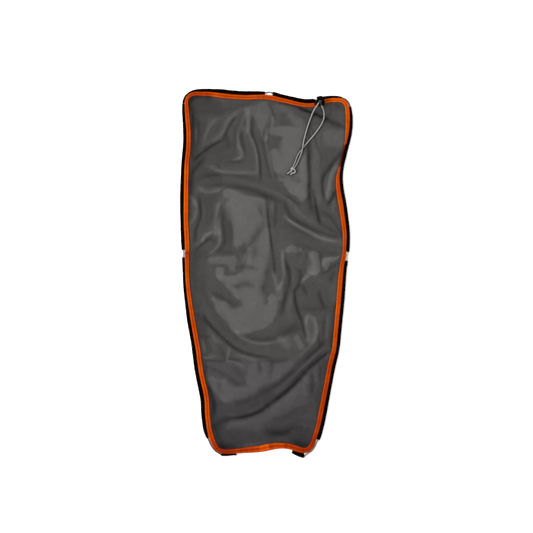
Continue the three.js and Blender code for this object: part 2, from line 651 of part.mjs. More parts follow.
function lockPieces() {
  const half = LOCK.width / 2;
  const top = LOCK.floor + LOCK.height;
  const middle = LOCK.floor + LOCK.height / 2;
  const inner = -9.6;
  const outer = 6.2;
  const boreHalf = { x: BUTTON.width / 2 + GAP, z: BUTTON.thickness / 2 + GAP };
  const pin = { x: BUTTON.width / 2, z: BUTTON.thickness / 2, inner: -SLOT.out - 1.7 };
  const boreEnd = pin.inner - BUTTON.travel - GAP;
  const slot = block(-SLOT.across, SLOT.across, -SLOT.out, SLOT.out, LOCK.floor - 1, top + 1);
  const bore = block(-boreHalf.x, boreHalf.x, boreEnd, outer + 1, middle - boreHalf.z, middle + boreHalf.z);
  const body = slab(-half, half, inner, outer, LOCK.floor, top, 5.5, 1.6).subtract(bore).subtract(slot);
  const pressedSlot = block(-SLOT.across, SLOT.across, -SLOT.out, SLOT.out + BUTTON.travel, 0, top + 1);
  const button = slab(-pin.x, pin.x, pin.inner, BUTTON.top, middle - pin.z, middle + pin.z, 2, 0.8)
    .subtract(pressedSlot);
  return { body: placeLock(body), button: placeLock(button) };
}

// The free cord: two strands from the lock to the knot. A row has the height of the cord's middle or,
// where the cord lies on the mesh, its lift above that.

const STRAND_LEFT = [
  { x: 108.5, y: 352.0, z: 15.0 }, { x: 108.5, y: 352.0, z: 18.9 }, { x: 107.9, y: 350.7, z: 21.7 },
  { x: 106.2, y: 347.4, z: 23.0 }, { x: 103.6, y: 343.3, z: 21.6 }, { x: 100.4, y: 338.4, z: 17.0 },
  { x: 97.4, y: 333.0, z: 12.4 }, { x: 94.6, y: 326.6, lift: 2.0 }, { x: 90.8, y: 316.2, lift: 0.4 },
  { x: 86.0, y: 304.4, lift: 0 }, { x: 81.6, y: 290.6, lift: 0 }, { x: 78.0, y: 277.8, lift: 0.8 },
  { x: 75.8, y: 266.6, lift: 2.4 }, { x: 74.4, y: 259.0, lift: 3.8 }, { x: 73.2, y: 253.2, lift: 3.8 },
  { x: 71.6, y: 246.8, lift: 2.2 }, { x: 68.6, y: 238.2, lift: 0.6 }, { x: 64.6, y: 229.4, lift: 0.4 },
  { x: 60.4, y: 221.4, lift: 1.2 }, { x: 57.9, y: 217.9, lift: 1.4 },
];
const STRAND_RIGHT = [
  { x: 111.9, y: 352.8, z: 15.0 }, { x: 111.9, y: 352.8, z: 18.9 }, { x: 112.3, y: 351.3, z: 21.7 },
  { x: 113.6, y: 347.6, z: 23.0 }, { x: 115.4, y: 342.2, z: 21.2 }, { x: 117.0, y: 335.6, z: 16.2 },
  { x: 117.8, y: 328.6, z: 12.6 }, { x: 117.6, y: 320.0, lift: 1.4 }, { x: 115.0, y: 312.0, lift: 0.4 },
  { x: 110.6, y: 303.8, lift: 0 }, { x: 104.8, y: 295.0, lift: 0 }, { x: 97.6, y: 285.0, lift: 0 },
  { x: 90.0, y: 274.8, lift: 0 }, { x: 83.0, y: 266.4, lift: 0 }, { x: 77.6, y: 260.2, lift: 0 },
  { x: 72.6, y: 254.0, lift: 0 }, { x: 67.4, y: 246.8, lift: 0 }, { x: 62.8, y: 237.6, lift: 0.2 },
  { x: 58.2, y: 227.2, lift: 0.8 }, { x: 54.4, y: 218.8, lift: 1.2 },
];

// The height of the mesh's top under a point.
function meshTop(x, y) {
  const { position } = panel.attributes;
  const corner = new THREE.Vector3();
  const weights = new THREE.Vector3();
  const target = new THREE.Vector3(x, y, 0);
  const triangle = new THREE.Triangle();
  let top = 0;
  for (let i = 0; i < panel.index.count; i += 3) {
    const corners = [0, 1, 2].map((k) => (
      corner.fromBufferAttribute(position, panel.index.getX(i + k)).clone()
    ));
    triangle.set(...corners.map((p) => p.clone().setZ(0)));
    if (triangle.getBarycoord(target, weights) && Math.min(...weights) > -1e-6) {
      const height = corners.reduce((sum, p, k) => sum + p.z * weights.getComponent(k), 0);
      top = Math.max(top, height);
    }
  }
  return top;
}

function layCord(rows) {
  return rows.map(({ x, y, z, lift }) => [x, y, z ?? meshTop(x, y) + CORD.radius + GAP + 0.2 + lift]);
}

function strand(rows) {
  const points = layCord(rows).map((p) => new THREE.Vector3(...p));
  const line = new THREE.CatmullRomCurve3(points, false, 'centripetal');
  const circle = new THREE.Shape();
  const { radius, sides } = CORD;
  for (let k = 0; k < sides; k += 1) {
    const angle = (k / sides) * 2 * Math.PI;
    circle[k ? 'lineTo' : 'moveTo'](radius * Math.cos(angle), radius * Math.sin(angle));
  }
  return new THREE.ExtrudeGeometry(circle, { steps: 32, extrudePath: line });
}

// The knot's cords overlap inside it, so it is joined into one solid.
const KNOT = [
  [
    { x: 54.2, y: 218.0, lift: 1.2 }, { x: 53.0, y: 215.6, lift: 1.4 }, { x: 52.2, y: 211.4, lift: 0.6 },
    { x: 48.0, y: 208.4, lift: 0 }, { x: 42.9, y: 204.8, lift: 0 },
  ],
  [
    { x: 57.6, y: 217.2, lift: 1.4 }, { x: 56.2, y: 215.0, lift: 1.2 }, { x: 54.0, y: 211.8, lift: 0.4 },
  ],
  [
    { x: 49.6, y: 213.0, lift: 0.4 }, { x: 52.2, y: 215.2, lift: 2.6 }, { x: 56.4, y: 213.6, lift: 3.0 },
    { x: 58.6, y: 209.8, lift: 1.8 }, { x: 57.2, y: 206.6, lift: 0.4 }, { x: 53.6, y: 206.4, lift: 0 },
    { x: 49.2, y: 203.0, lift: 0 },
  ],
];

function knot() {
  return fromSolid(KNOT.map((rows) => toSolid(tube(layCord(rows), CORD.radius, CORD.sides)))
    .reduce((whole, piece) => whole.add(piece)));
}

// The cover

const panel = meshPanel();
addPiece('mesh_panel', panel, MATERIALS.mesh);
addPiece('edge_binding', binding(), MATERIALS.tape);
for (const row of SLEEVES) addPiece(row.name, sleeve(row), MATERIALS.sleeve);
addPiece('cord_right', cordRun(CORD_RUNS.right, 1), MATERIALS.cord);
addPiece('cord_left', cordRun(CORD_RUNS.left, -1), MATERIALS.cord);
const lock = lockPieces();
addPiece('lock_body', lock.body, MATERIALS.plastic);
addPiece('lock_button', lock.button, MATERIALS.plastic);
addPiece('strand_left', strand(STRAND_LEFT), MATERIALS.cord);
addPiece('strand_right', strand(STRAND_RIGHT), MATERIALS.cord);
addPiece('knot', knot(), MATERIALS.cord);

export default cover;
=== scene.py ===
import bpy
import numpy as np
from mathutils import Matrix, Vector


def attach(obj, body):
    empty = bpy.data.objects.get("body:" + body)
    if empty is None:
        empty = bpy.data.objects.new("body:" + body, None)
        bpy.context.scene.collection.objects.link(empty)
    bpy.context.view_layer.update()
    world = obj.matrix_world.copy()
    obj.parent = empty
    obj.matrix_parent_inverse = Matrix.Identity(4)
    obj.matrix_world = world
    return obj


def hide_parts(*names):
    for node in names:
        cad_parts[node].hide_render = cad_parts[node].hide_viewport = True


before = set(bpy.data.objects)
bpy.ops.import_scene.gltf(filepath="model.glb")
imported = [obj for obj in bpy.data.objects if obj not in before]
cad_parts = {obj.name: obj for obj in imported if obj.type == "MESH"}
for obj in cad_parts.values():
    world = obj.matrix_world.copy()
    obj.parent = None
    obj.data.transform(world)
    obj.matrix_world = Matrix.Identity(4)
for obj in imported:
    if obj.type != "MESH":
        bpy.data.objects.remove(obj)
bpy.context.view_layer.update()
MM = 0.001
TWO_PI = 2 * np.pi
# %% [markdown]
# ## The camera
# The picture was taken from straight above. A long lens, far away, keeps the tall and the low parts at one
# scale; a camera with no rotation looks down the Z axis with +Y up. The field is how much of the floor the
# picture spans.
# %% Camera
VIEW = {"x": 0.1, "y": 14.35, "field": 1092.65, "height": 9000.0, "sensor": 36.0}
camera_data = bpy.data.cameras.new("camera")
camera_data.sensor_width = VIEW["sensor"]
camera_data.lens = VIEW["sensor"] * VIEW["height"] / VIEW["field"]
camera = bpy.data.objects.new("camera", camera_data)
camera.location = (VIEW["x"] * MM, VIEW["y"] * MM, VIEW["height"] * MM)
bpy.context.collection.objects.link(camera)
bpy.context.scene.camera = camera
print(f"lens {camera_data.lens:.1f} mm at {VIEW['height'] * MM} m")
# %% [markdown]
# ## Tables and curves
# A table keeps named columns of numbers. A centripetal Catmull-Rom curve passes through its points without
# loops, which suits a sewn edge and a limp cord alike.
# %% Tables and curves
def table(names, rows):
    """The rows' numbers as one array for each named column."""
    return dict(zip(names.split(), np.array(rows, float).T))


def smooth(t):
    """3 t squared less 2 t cubed, with t held between 0 and 1."""
    c = np.clip(t, 0, 1)
    return c * c * (3 - 2 * c)


def curve_through(points, closed=False, steps=40):
    """Centripetal Catmull-Rom: in each span a cubic whose end slopes come from the neighbouring points,
    weighed by the square roots of the gaps between them."""
    if closed:
        ring = np.vstack([points[-1:], points, points[:2]])
    else:
        ring = np.vstack([2 * points[0] - points[1], points, 2 * points[-1] - points[-2]])
    p0, p1, p2, p3 = (ring[k : len(ring) - 3 + k, None, :] for k in range(4))
    pairs = ((p0, p1), (p1, p2), (p2, p3))
    g0, g1, g2 = (np.linalg.norm(b - a, axis=2, keepdims=True) ** 0.5 for a, b in pairs)
    leave = ((p1 - p0) / g0 - (p2 - p0) / (g0 + g1) + (p2 - p1) / g1) * g1
    reach = ((p2 - p1) / g1 - (p3 - p1) / (g1 + g2) + (p3 - p2) / g2) * g1
    t = (np.arange(steps) / steps)[None, :, None]
    bend = 3 * (p2 - p1) - 2 * leave - reach
    twist = 2 * (p1 - p2) + leave + reach
    spans = (p1 + leave * t + bend * t**2 + twist * t**3).reshape(-1, points.shape[1])
    return np.vstack([spans, points[:1] if closed else points[-1:]])


def distances(line):
    """How far along a line each of its points is."""
    return np.concatenate([[0], np.cumsum(np.linalg.norm(np.diff(line, axis=0), axis=1))])


def resample(line, spacing):
    """Points on the line at even distances of about the spacing."""
    along = distances(line)
    even = np.linspace(0, along[-1], int(round(along[-1] / spacing)) + 1)
    return np.stack([np.interp(even, along, column) for column in line.T], axis=1)


square = np.array([(-1, -1), (1, -1), (1, 1), (-1, 1)], float)
around = distances(curve_through(square, closed=True))[-1]
print(f"a closed curve through the corners of a square 2 mm wide is {around:.2f} mm round")
# %% [markdown]
# ## The edge
# Everything sewn on this cover follows its outer edge, so the edge is the ruler: a place is a distance s
# along it, u outwards from it and z above the floor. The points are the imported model's own. s starts near
# the middle of the narrow end and runs by the right side first.
# %% The edge
EDGE = table("x y", [
    (-12, -366), (37, -359), (76, -368), (88, -365), (97, -355), (104, -334), (112, -306), (132, -211),
    (142, -162), (147, -113), (159, 7), (165, 48), (165, 84), (159, 133), (151, 180), (151, 207),
    (160, 251), (170, 292), (172, 322), (169, 347), (161, 357), (148, 361), (123, 359), (96, 350),
    (74, 350), (0, 367), (-44, 366), (-86, 370), (-147, 373), (-162, 366), (-168, 354), (-165, 280),
    (-169, 222), (-171, 110), (-168, 56), (-167, -14), (-158, -88), (-137, -211), (-128, -257),
    (-126, -292), (-119, -336), (-109, -358), (-96, -368), (-46, -368),
])
edge_line = curve_through(np.stack([EDGE["x"], EDGE["y"]], axis=1), closed=True)
edge_at = distances(edge_line)
EDGE_LENGTH = edge_at[-1]
edge_run = np.roll(edge_line[:-1], -1, axis=0) - np.roll(edge_line[:-1], 1, axis=0)
edge_run /= np.linalg.norm(edge_run, axis=1, keepdims=True)
edge_run = np.vstack([edge_run, edge_run[:1]])


def at_edge(s, u, z):
    """The edge's point at s, moved by u along the outward normal, which is the run turned clockwise by a
    right angle, and lifted to z."""
    s, u, z = np.broadcast_arrays(s, u, z)
    turn = np.mod(s, EDGE_LENGTH)
    x, y = (np.interp(turn, edge_at, column) for column in edge_line.T)
    run_x, run_y = (np.interp(turn, edge_at, column) for column in edge_run.T)
    size = np.hypot(run_x, run_y)
    return np.stack([x + u * run_y / size, y - u * run_x / size, z], axis=-1)


def near_edge(x, y, spacing=1.0, block_size=4000):
    """The distance to the nearest of the edge's points, which are a spacing apart, and how far along the
    edge that point is. Blocks of places keep the table of all the gaps small."""
    spots = np.arange(0, EDGE_LENGTH, spacing)
    edge = at_edge(spots, 0, 0)[:, :2]
    flat = np.stack([np.ravel(x), np.ravel(y)], axis=1)
    far, along = [], []
    for block in np.array_split(flat, max(1, len(flat) // block_size)):
        gaps = (block[:, None, 0] - edge[:, 0]) ** 2 + (block[:, None, 1] - edge[:, 1]) ** 2
        nearest = np.argmin(gaps, axis=1)
        far.append(np.sqrt(gaps[np.arange(len(block)), nearest]))
        along.append(spots[nearest])
    return np.concatenate(far).reshape(np.shape(x)), np.concatenate(along).reshape(np.shape(x))


print(f"the edge is {EDGE_LENGTH:.1f} mm round")
# %% [markdown]
# ## Sizes along the edge
# Sewn by hand and eye, nothing keeps quite the same width. The tape's two sides wander a little, it is
# folded less deeply at the right side's waist, and it climbs over the sleeves in four places. The sleeves
# reach out by more or less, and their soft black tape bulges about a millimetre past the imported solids.
# The rows were measured along the picture's edge, then moved where the render still differed.
# %% Sizes along the edge
GAP = 0.3
MESH = {"thickness": 1.0, "sag": 1.3, "edge": 2.0, "lowest": 0.1}
TAPE = {"wall": 0.8, "lap": 20.0, "floor": 0.9, "top": 4.1, "climb": 4.2, "ramp": 14.0}
SLEEVE = {"height": 4.8, "narrowest": 4.6, "wall": 0.34, "flange": 8.0, "tuck_ramp": 9.0}
CORD = {"radius": 1.5, "height": 2.4}
TAPE_SIDES = table("s outer inner", [
    (0, 0, 13.3), (12, 0, 14.4), (32, 0.5, 13.4), (45, 0, 11.4), (66, 0, 11.5), (92, 0, 10.7),
    (110, -0.3, 9.9), (124, 0, 9), (145, 0, 8.4), (165, 0, 8.9), (200, 0.7, 9.7), (265, 1.2, 10.3),
    (285, 2.1, 11.2), (300, 1.6, 10.5), (320, 0, 8.1), (370, 0, 8.2), (410, -0.2, 8.7), (440, 0, 9.3),
    (465, 0.5, 10), (500, 1.2, 9.6), (508, -0.1, 8.7), (516, 0.1, 8.4), (530, 2, 8.9), (560, 0.5, 8.9),
    (590, 1, 9.2), (620, 0.3, 9.7), (650, 0.2, 8.5), (670, 0.4, 7.5), (680, 0.8, 6.4), (690, 0.4, 4.6),
    (702, 0.2, 2.8), (736, 0.2, 2.4), (750, 0.2, 3.9), (760, 0.3, 5.9), (772, 0.8, 7.9), (790, 1.2, 9.3),
    (820, 1.7, 10), (840, 1.2, 9.4), (860, 2, 9.7), (880, 0.8, 9.5), (920, 0.4, 7.8), (940, 0, 7.7),
    (960, 0, 8.2), (980, 0.6, 9.4), (1000, 0, 9.7), (1020, 1.1, 10.3), (1040, 0.3, 9.2), (1060, 0.6, 9.5),
    (1080, 1.4, 10.9), (1100, 1, 10.6), (1120, 0.6, 9.2), (1140, 1.8, 9.6), (1160, 0.8, 7.9),
    (1180, 0.8, 7.1), (1200, 1.5, 8.9), (1220, 1.4, 9.9), (1260, 1.2, 9.6), (1285, 2, 10.7), (1320, 1, 9.6),
    (1390, 1.7, 10.5), (1440, 1.4, 10.4), (1480, 0.9, 10.1), (1500, 0.3, 9.4), (1520, 1.2, 9.1),
    (1545, 1.6, 8.9), (1600, 1.6, 9.4), (1640, 1.4, 10.4), (1700, 2.2, 11.2), (1720, 0.8, 9.7),
    (1745, 0.2, 9), (1790, 0.8, 9.9), (1820, 0.7, 10.2), (1860, 0.6, 9.7), (1880, 0.9, 11.1),
    (1900, 1.4, 10.8), (1920, 0.4, 9.1), (1940, 0.8, 9), (1960, 0, 10.1), (1980, 0, 12),
    (EDGE_LENGTH, 0, 13.3),
])
RAISED = table("start end", [(803, 862), (1132, 1232), (1503, 1604), (1885, 1958)])
REACH = table("s mm", [
    (66, 6.4), (91, 10), (132, 7), (145, 7.8), (180, 7), (240, 5.6), (290, 4.9), (330, 6.8), (410, 7.2),
    (430, 7.2), (485, 5.3), (522, 5), (560, 5.8), (645, 6.6), (700, 5.8), (750, 6.2), (785, 5.2), (803, 4.6),
    (823, 2.6), (849, 1.8), (870, 3.5), (887, 5.3), (901, 4.5), (904, 6), (908, 8.4), (950, 7.6),
    (978, 6.3), (988, 7), (995, 7), (1010, 5), (1045, 7.5), (1085, 6.2), (1100, 6.7), (1142, 3.9),
    (1170, 1.8), (1200, 3.6), (1250, 5.2), (1290, 4.9), (1380, 5.8), (1435, 4.9), (1475, 6.2), (1506, 4.8),
    (1538, 3.5), (1600, 4.6), (1635, 5.6), (1680, 4.6), (1735, 7.3), (1800, 7.2), (1864, 6.6), (1872, 5),
    (1880, 3.4), (1924, 4.8), (1936, 3.9), (1955, 2.6),
])
BULGE = table("s mm", [
    (0, 0.3), (840, 0.4), (900, 0.4), (1010, 0.7), (1150, 1), (1210, 1), (1260, 0.8), (1870, 0.8),
    (1930, 0.5), (EDGE_LENGTH, 0.3),
])
# Each sleeve's start and end along the edge, and how far from the tape it stands at each.
SLEEVES = {
    "sleeve_bottom_right": (66, 91, 0, 4), "sleeve_right_lower": (132, 504, 0, 0),
    "sleeve_right_upper": (522, 823, 0, 0), "sleeve_top_right": (849, 887, 0, 0),
    "sleeve_top_middle": (901, 995, 0, 0), "sleeve_top_left": (1010, 1189.2, 0, 0),
    "sleeve_left_upper": (1190.2, 1491, 0, 0), "sleeve_left_lower": (1506, 1880, 0, 0),
    "sleeve_bottom_left": (1924, 1955, 0, 0),
}


def tape_side(side, s):
    """How far inside the edge the tape's outer or inner side is at s, in straight lines between the rows."""
    return np.interp(np.mod(s, EDGE_LENGTH), TAPE_SIDES["s"], TAPE_SIDES[side])


def raised_at(s):
    """1 in a zone where the tape lies on a sleeve, falling smoothly to 0 over a ramp outside it."""
    turn = np.mod(s, EDGE_LENGTH)[..., None]
    outside = np.maximum(np.maximum(RAISED["start"] - turn, turn - RAISED["end"]), 0)
    return np.max(1 - smooth(outside / TAPE["ramp"]), axis=-1)


def lift(s):
    """How far the tape is raised at s."""
    return TAPE["climb"] * raised_at(s)


def reach_of(row, s):
    """A sleeve's inner and outer side at s. The inner side lies a gap outside the tape. Where the tape is
    raised, a sleeve narrower than its cord keeps its width by going in under the tape."""
    start, end, stand_start, stand_end = row
    off = stand_start + (stand_end - stand_start) * (s - start) / (end - start)
    reach = np.interp(s, REACH["s"], REACH["mm"]) + np.interp(s, BULGE["s"], BULGE["mm"])
    spare = np.minimum(s[..., None] - RAISED["start"], RAISED["end"] - s[..., None])
    tucked = np.max(smooth(spare / SLEEVE["tuck_ramp"]), axis=-1)
    beside = GAP + off - tape_side("outer", s)
    near = beside - np.maximum(0, SLEEVE["narrowest"] + beside - reach) * tucked
    return near, np.maximum(reach, near + SLEEVE["narrowest"])


print(f"{len(SLEEVES)} sleeves cover {sum(row[1] - row[0] for row in SLEEVES.values()):.0f} mm of the edge")
# %% [markdown]
# ## The panel's folds
# The mesh is soft. It lies in shallow folds, which show as narrow dark lines beside pale ridges: painted
# shade in the troughs and painted light on the ridges, and in part the denser look of cloth seen edge on
# in a trough, where more of it lies in front of the floor. Each fold is one crease through three points,
# with its half width, its rise in millimetres and its tone: 1 is twice as bright and -1 half as bright. A
# cloth simulation would find folds of its own, not these, so they are listed one by one, as read off the
# picture.
# %% The panel's folds
FOLDS = table("x0 y0 x1 y1 x2 y2 half rise tone", [
    (2, 354, 11, 337, 17, 318, 3.2, -2, -0.75), (13, 350, 26, 336, 38, 324, 4, -1.5, -0.2),
    (27, 349, 55, 344, 80, 333.5, 2.8, -3.5, -1.2), (70, 338, 97, 327.8, 123, 316, 2.7, -2.5, -2.5),
    (119, 320, 136, 309.5, 158, 299, 4.6, -2.5, -1), (139, 349, 147, 343, 156, 337, 6, -2, -0.55),
    (112, 298, 135, 286, 158, 280, 9, 1.5, 0.15), (-152.5, 337, -150, 300, -151, 241, 3.5, -3, -1.15),
    (-146, 303, -143.5, 287, -145, 270, 2.3, 2, 0.6), (-143, 315, -137, 295, -139, 264, 4, -1.5, -0.35),
    (-92, 320, -114, 303, -127, 268, 4, 2.5, 0.5), (-46, 337, -73, 317, -86, 290, 5, 2.5, 0.5),
    (-84, 294, -94, 282, -108, 272, 4.5, 2, 0.45), (-90, 308, -103, 292, -117, 277, 4, -1.5, -0.25),
    (-63.5, 319, -76, 301, -86.5, 277, 2.8, -3.5, -0.85), (-87, 274, -113, 261, -134, 245, 3, -3, -1.3),
    (-134, 245, -142, 239, -149, 231, 3, -3, -1.2), (-127, 237, -141, 221, -155, 203, 5.5, -2.5, -0.85),
    (-58, 290, -57, 269, -51, 245, 4, 3.5, 0.55), (-55, 259, -48.5, 249, -52, 240, 5, 1.5, 0.6),
    (-51, 241, -57, 236, -68, 232, 3, 1, 0.8), (-51, 291, -48, 268, -42, 245, 2.8, -2.5, -0.7),
    (-45, 232, -57, 228, -71, 228, 2.5, -1.5, -0.5), (-41, 328, -48, 310, -54, 292, 4, 2, 0.3),
    (-44, 296, -33, 283, -27, 267, 3.2, 2.5, 0.6), (-27, 270, -19.5, 245, -17.5, 208, 3, 2.5, 0.9),
    (-29.5, 321, -29.5, 298, -27.5, 280, 2.8, -2.5, -0.9), (-28, 283, -20, 262, -15, 238, 2.4, -2.5, -1),
    (-15, 240, -12.5, 218, -12, 192, 2.6, -2.5, -1.1), (1, 283, 0, 268, 4, 241, 3, 2.5, 0.35),
    (4, 241, 9.5, 218, 17.5, 195, 3, 2, 0.3), (2, 306, -6, 277, 1, 237, 2.8, -2.5, -0.6),
    (-0.5, 238, 3.5, 218, 10, 195, 2.8, -2.5, -0.45), (27, 276, 30, 266, 28, 252, 7.5, -1, -0.22),
    (-111, 216, -78, 206.5, -18, 206.5, 4.6, 3, 0.8), (-139, 193, -91, 203, -18, 194, 4.5, -2.5, -0.6),
    (-90, 181, -34, 172, 12, 154, 5, -3, -0.7), (-52, 191, 2, 172, 66, 146, 4, 2, 0.25),
    (42, 160, 55, 150.5, 68.5, 140, 3, -2, -0.75), (-139, 179, -117, 166, -88, 178, 4, 2, 0.7),
    (90, 306, 88, 285, 87, 262, 3, -2, -0.5), (86.5, 264, 86.5, 215, 88.5, 156, 4.2, -3.5, -1.45),
    (94, 280, 98, 262, 104, 240, 4, 1, 0.12), (91, 305, 101, 274, 114, 234, 2, -1, -0.6),
    (159.5, 253, 140, 230, 119.5, 203, 4.5, -3, -1.2), (119, 204, 114, 180, 121, 151, 3.2, -3, -1.1),
    (88.5, 162, 90, 145, 94, 126, 4.5, -1.5, -0.85), (20, 314, 32, 309, 45, 307, 5, -0.5, -0.15),
    (6, 326, 16, 316, 24, 306, 6, 0.5, 0.3), (141, 220, 132, 190, 125, 158, 7, 4, 0.5),
    (146, 242, 145, 230, 142, 218, 5, 1, 0.4), (127, 142, 135.5, 157, 147, 176, 3.2, -2.5, -1.4),
    (141, 161, 146, 151, 150, 138, 3, -1, -0.5), (-139.5, 157, -134.5, 126, -141, 99, 3, -3, -1.3),
    (-141, 100, -145, 84, -146, 67, 3, -3, -1.1), (-149, 149, -142.5, 128, -154, 103, 3.2, 2, 0.5),
    (-143, 48, -131, 60.5, -115, 71, 2.7, -2.5, -1), (-93, 150, -99, 132, -104, 108, 4, 2.5, 0.5),
    (-138, 58, -126, 73, -115, 83, 3, 2, 0.55), (-97, 88, -96, 61, -116, 41, 3.4, 2.5, 0.8),
    (-92, 134, -89, 100, -85, 68, 4.5, -2.5, -0.75), (-85, 70, -89, 58, -96, 49, 3.5, -2, -0.6),
    (-84, 135, -75, 105, -75, 55, 8, -1, -0.4), (-8, 101, -23.5, 73, -43, 47, 7.5, -1.5, -0.8),
    (-22, 54, -23, 44, -25, 31, 6.5, -0.5, -0.55), (-54, 12, -38, 13, -20, 10, 5, -0.5, -0.65),
    (2, 40, 2, 10, 0, -20, 5, -0.5, -0.35), (-54, 51, -62, 25, -67, 0, 5, -1, -0.05),
    (-111, 51, -88, 45, -66, 43, 5, -1.5, -0.4), (-97, -1, -92, -8, -86, -14, 5, 1, 0.1),
    (-61, -26, -45, -22, -27, -25, 6.5, -1, -0.65), (-98, -30, -74, -46, -55, -64, 8, -1.5, -0.05),
    (-112, -38, -88, -51, -61, -67, 4, -2, -0.6), (0.6, 139, 6, 92, 12.7, 47, 2.2, -3.5, -1.55),
    (-1, 152, 0, 145, 1, 138, 2.5, -1, -0.6), (12.6, 48, 15.6, 22, 18, 0, 2.4, -3, -1),
    (14, 7, 19, -13, 22, -32, 4, 1.5, 0.6), (12, 146, 13, 135, 14, 125, 3, 1, 0.6),
    (19, 146, 19, 120, 18, 97, 4, -1, -0.5), (34, 46, 35, 23, 38.5, -3, 3, 4, 0.95),
    (37, -4, 32, -22, 24, -36, 4, 2, 0.35), (39.5, 24, 46.5, 0, 45.5, -26, 3.8, -3.5, -1.2),
    (45, -26, 37.5, -52, 31.5, -82, 4.2, -3, -0.95), (68, 7, 69, -16, 57, -36, 4, -3, -1.1),
    (57, -34, 61, -66, 70.5, -92, 2.8, -3.5, -1.5), (-4, -8, -7, -24, -9, -42, 7, -1, -0.42),
    (39.5, 117, 60.5, 100, 89, 85, 3, 4, 1.15), (89, 85, 116, 71.5, 152, 64.5, 4.4, 4, 1),
    (48, 117.5, 78, 99.5, 107, 84.5, 3.4, -3, -0.95), (105, 89, 126, 79.5, 148, 75, 3, -2.5, -0.5),
    (38, 146, 43, 130, 51, 117, 4, -2, -0.7), (99, 151, 104, 125, 110, 103, 3, -3, -1.5),
    (107, 105, 125, 94, 146, 82, 3, -1.5, -0.5), (112, 125, 130, 117, 146, 94, 3, -2, -0.65),
    (146, 94, 152, 84, 155, 75, 3, -2, -0.8), (42, 103, 72, 85.5, 108, 68, 3.2, -2, -0.38),
    (66, 62, 88, 53, 112, 46, 4, -2.5, -0.3), (112, 45, 130, 40, 153, 41, 6, -2, -0.2),
    (41, 51, 51, 53, 61, 53, 6, 2, 0), (65, 58, 66, 43, 66, 30, 4, -1.5, -0.4),
    (92, 43, 98, 23, 102, 7, 9, 2.5, 0.2), (117, 17, 130, 28, 151, 35, 5, 2.5, 0.15),
    (113, 42, 112, 28, 113, 12, 3.5, -1.5, -0.6), (114, -2, 134, 11.5, 154, 26, 3, -2.5, -0.6),
    (141, 7, 135, -8, 133, -18, 4, -1.5, -0.5), (107, 3, 89, -4, 70, -20, 4.5, 2, 0.3),
    (75, -24, 78, -34, 82, -41, 3, -2, -0.9), (108, -37, 111, -52, 118, -68, 3, -2, -1),
    (-144, -82, -131, -93, -118, -106, 5, -2, -0.25), (28, 87, 25, 48, 28, 17, 5, -1.5, -0.02),
    (84, 41, 80, 17, 76, -3, 4, -1.5, -0.28), (-126, -92, -110, -112, -91, -130.5, 3.5, -3, -1.3),
    (-91, -130.5, -72, -147.5, -52, -160, 3.3, -3.5, -1.4),
    (-52, -159.5, -29, -167, 5, -172, 2.8, -3, -1.05), (-103, -90, -77, -118, -44, -141, 9, -1.5, -0.35),
    (-38, -128, -14, -135, 18, -133, 4, -2, -0.6), (18, -131, 43, -118, 64, -103, 9, -1.5, -0.5),
    (-62, -118, -52, -130, -36, -138, 3.2, 3, 0.7), (-38, -137, -12, -144, 20, -141, 3, 3, 0.75),
    (20, -138, 40, -134, 52, -131, 7, 2, 0.4), (66, -126, 73, -141, 79, -154, 5, 3, 0.1),
    (43, -177, 18, -180, 2, -177, 5, -1.5, -0.5), (86, -87, 81.5, -108, 88, -134, 4, 3, 0.55),
    (94, -90, 105, -113, 100, -136, 5, 3, 0.4), (70, -89, 75.5, -110, 81, -130, 2.8, -3, -1.1),
    (122, -138, 98, -160, 68, -187, 5, -3, -1.05), (102, -136, 86, -154, 60, -178, 3, 2, 0.3),
    (64, -190, 34, -218, -3, -243, 6.5, -3, -1), (-3, -239, -34, -256, -70, -268, 8, -2, -0.5),
    (115, -155, 80, -189, 41, -223, 4, 3, 0.08), (129, -160, 104, -179, 77, -204, 3.9, -4, -1.7),
    (77, -204, 45, -237.5, 2, -270.5, 4.7, -4.5, -2.2), (2, -270.5, -29, -289, -75, -297, 4.5, -4, -1.95),
    (-75, -297, -88, -302, -102, -310, 6, -2.5, -0.8), (84, -213, 64, -244, 28, -270, 10, 2, 0),
    (28, -270, -13, -295, -75, -313, 10, 2, 0), (-122, -226, -110, -254, -106, -284, 4.5, -3, -1.45),
    (-127, -202, -121, -232, -114, -262, 4, -1, -0.7), (-113, -262, -111, -290, -109, -318, 4, -1, -0.8),
    (-113, -287, -103, -305, -100, -331, 7, -2, -0.4), (-139, -129, -126, -130, -113, -130, 4, -1.5, -0.5),
    (-129, -132, -127, -150, -125, -160, 4.2, 2, 0.7), (-111, -123, -103, -136, -95, -139, 4.5, 2, 0.5),
    (-123, -136, -118, -152, -113, -162, 5, -1.5, -0.4), (-74, -151, -77, -165, -80, -178, 2.2, 2.5, 0.7),
    (-83, -181, -66, -182, -50, -192, 2.6, 2.5, 0.5), (-55, -184, -49, -188, -44, -193, 4.5, 1, 0.3),
    (-77, -175, -64, -176, -50, -181, 2.2, -1.5, -0.8), (-95, -152, -88, -167, -85, -177, 6, -1.5, -0.5),
    (-126, -175, -116, -172, -105, -170, 3, 1.5, 0.4), (-131, -177, -111, -179, -85, -180, 2.5, -1.5, -0.6),
    (-124, -191, -98, -201, -74, -214, 3, -2.5, -0.48), (-74, -215, -62, -224, -46, -226, 3.5, -2, -0.6),
    (2, -323, 28, -327, 53, -318, 7, -2.5, -1.1), (-100, -356, -80, -357, -52, -359, 7.5, -2, -1.6),
    (53, -346, 74, -354, 89, -354, 8, -2, -1.3), (109, -184, 110, -200, 108, -222, 2.6, -1.5, -0.8),
    (104, -126, 109, -136, 108, -148, 4, -1.5, -0.6), (119, -88, 118, -112, 116, -138, 3, -1, -0.4),
    (127, -84, 126, -110, 123, -140, 3, 1.5, 0.4), (133, -126, 133, -141, 130, -157, 4, -1, -0.5),
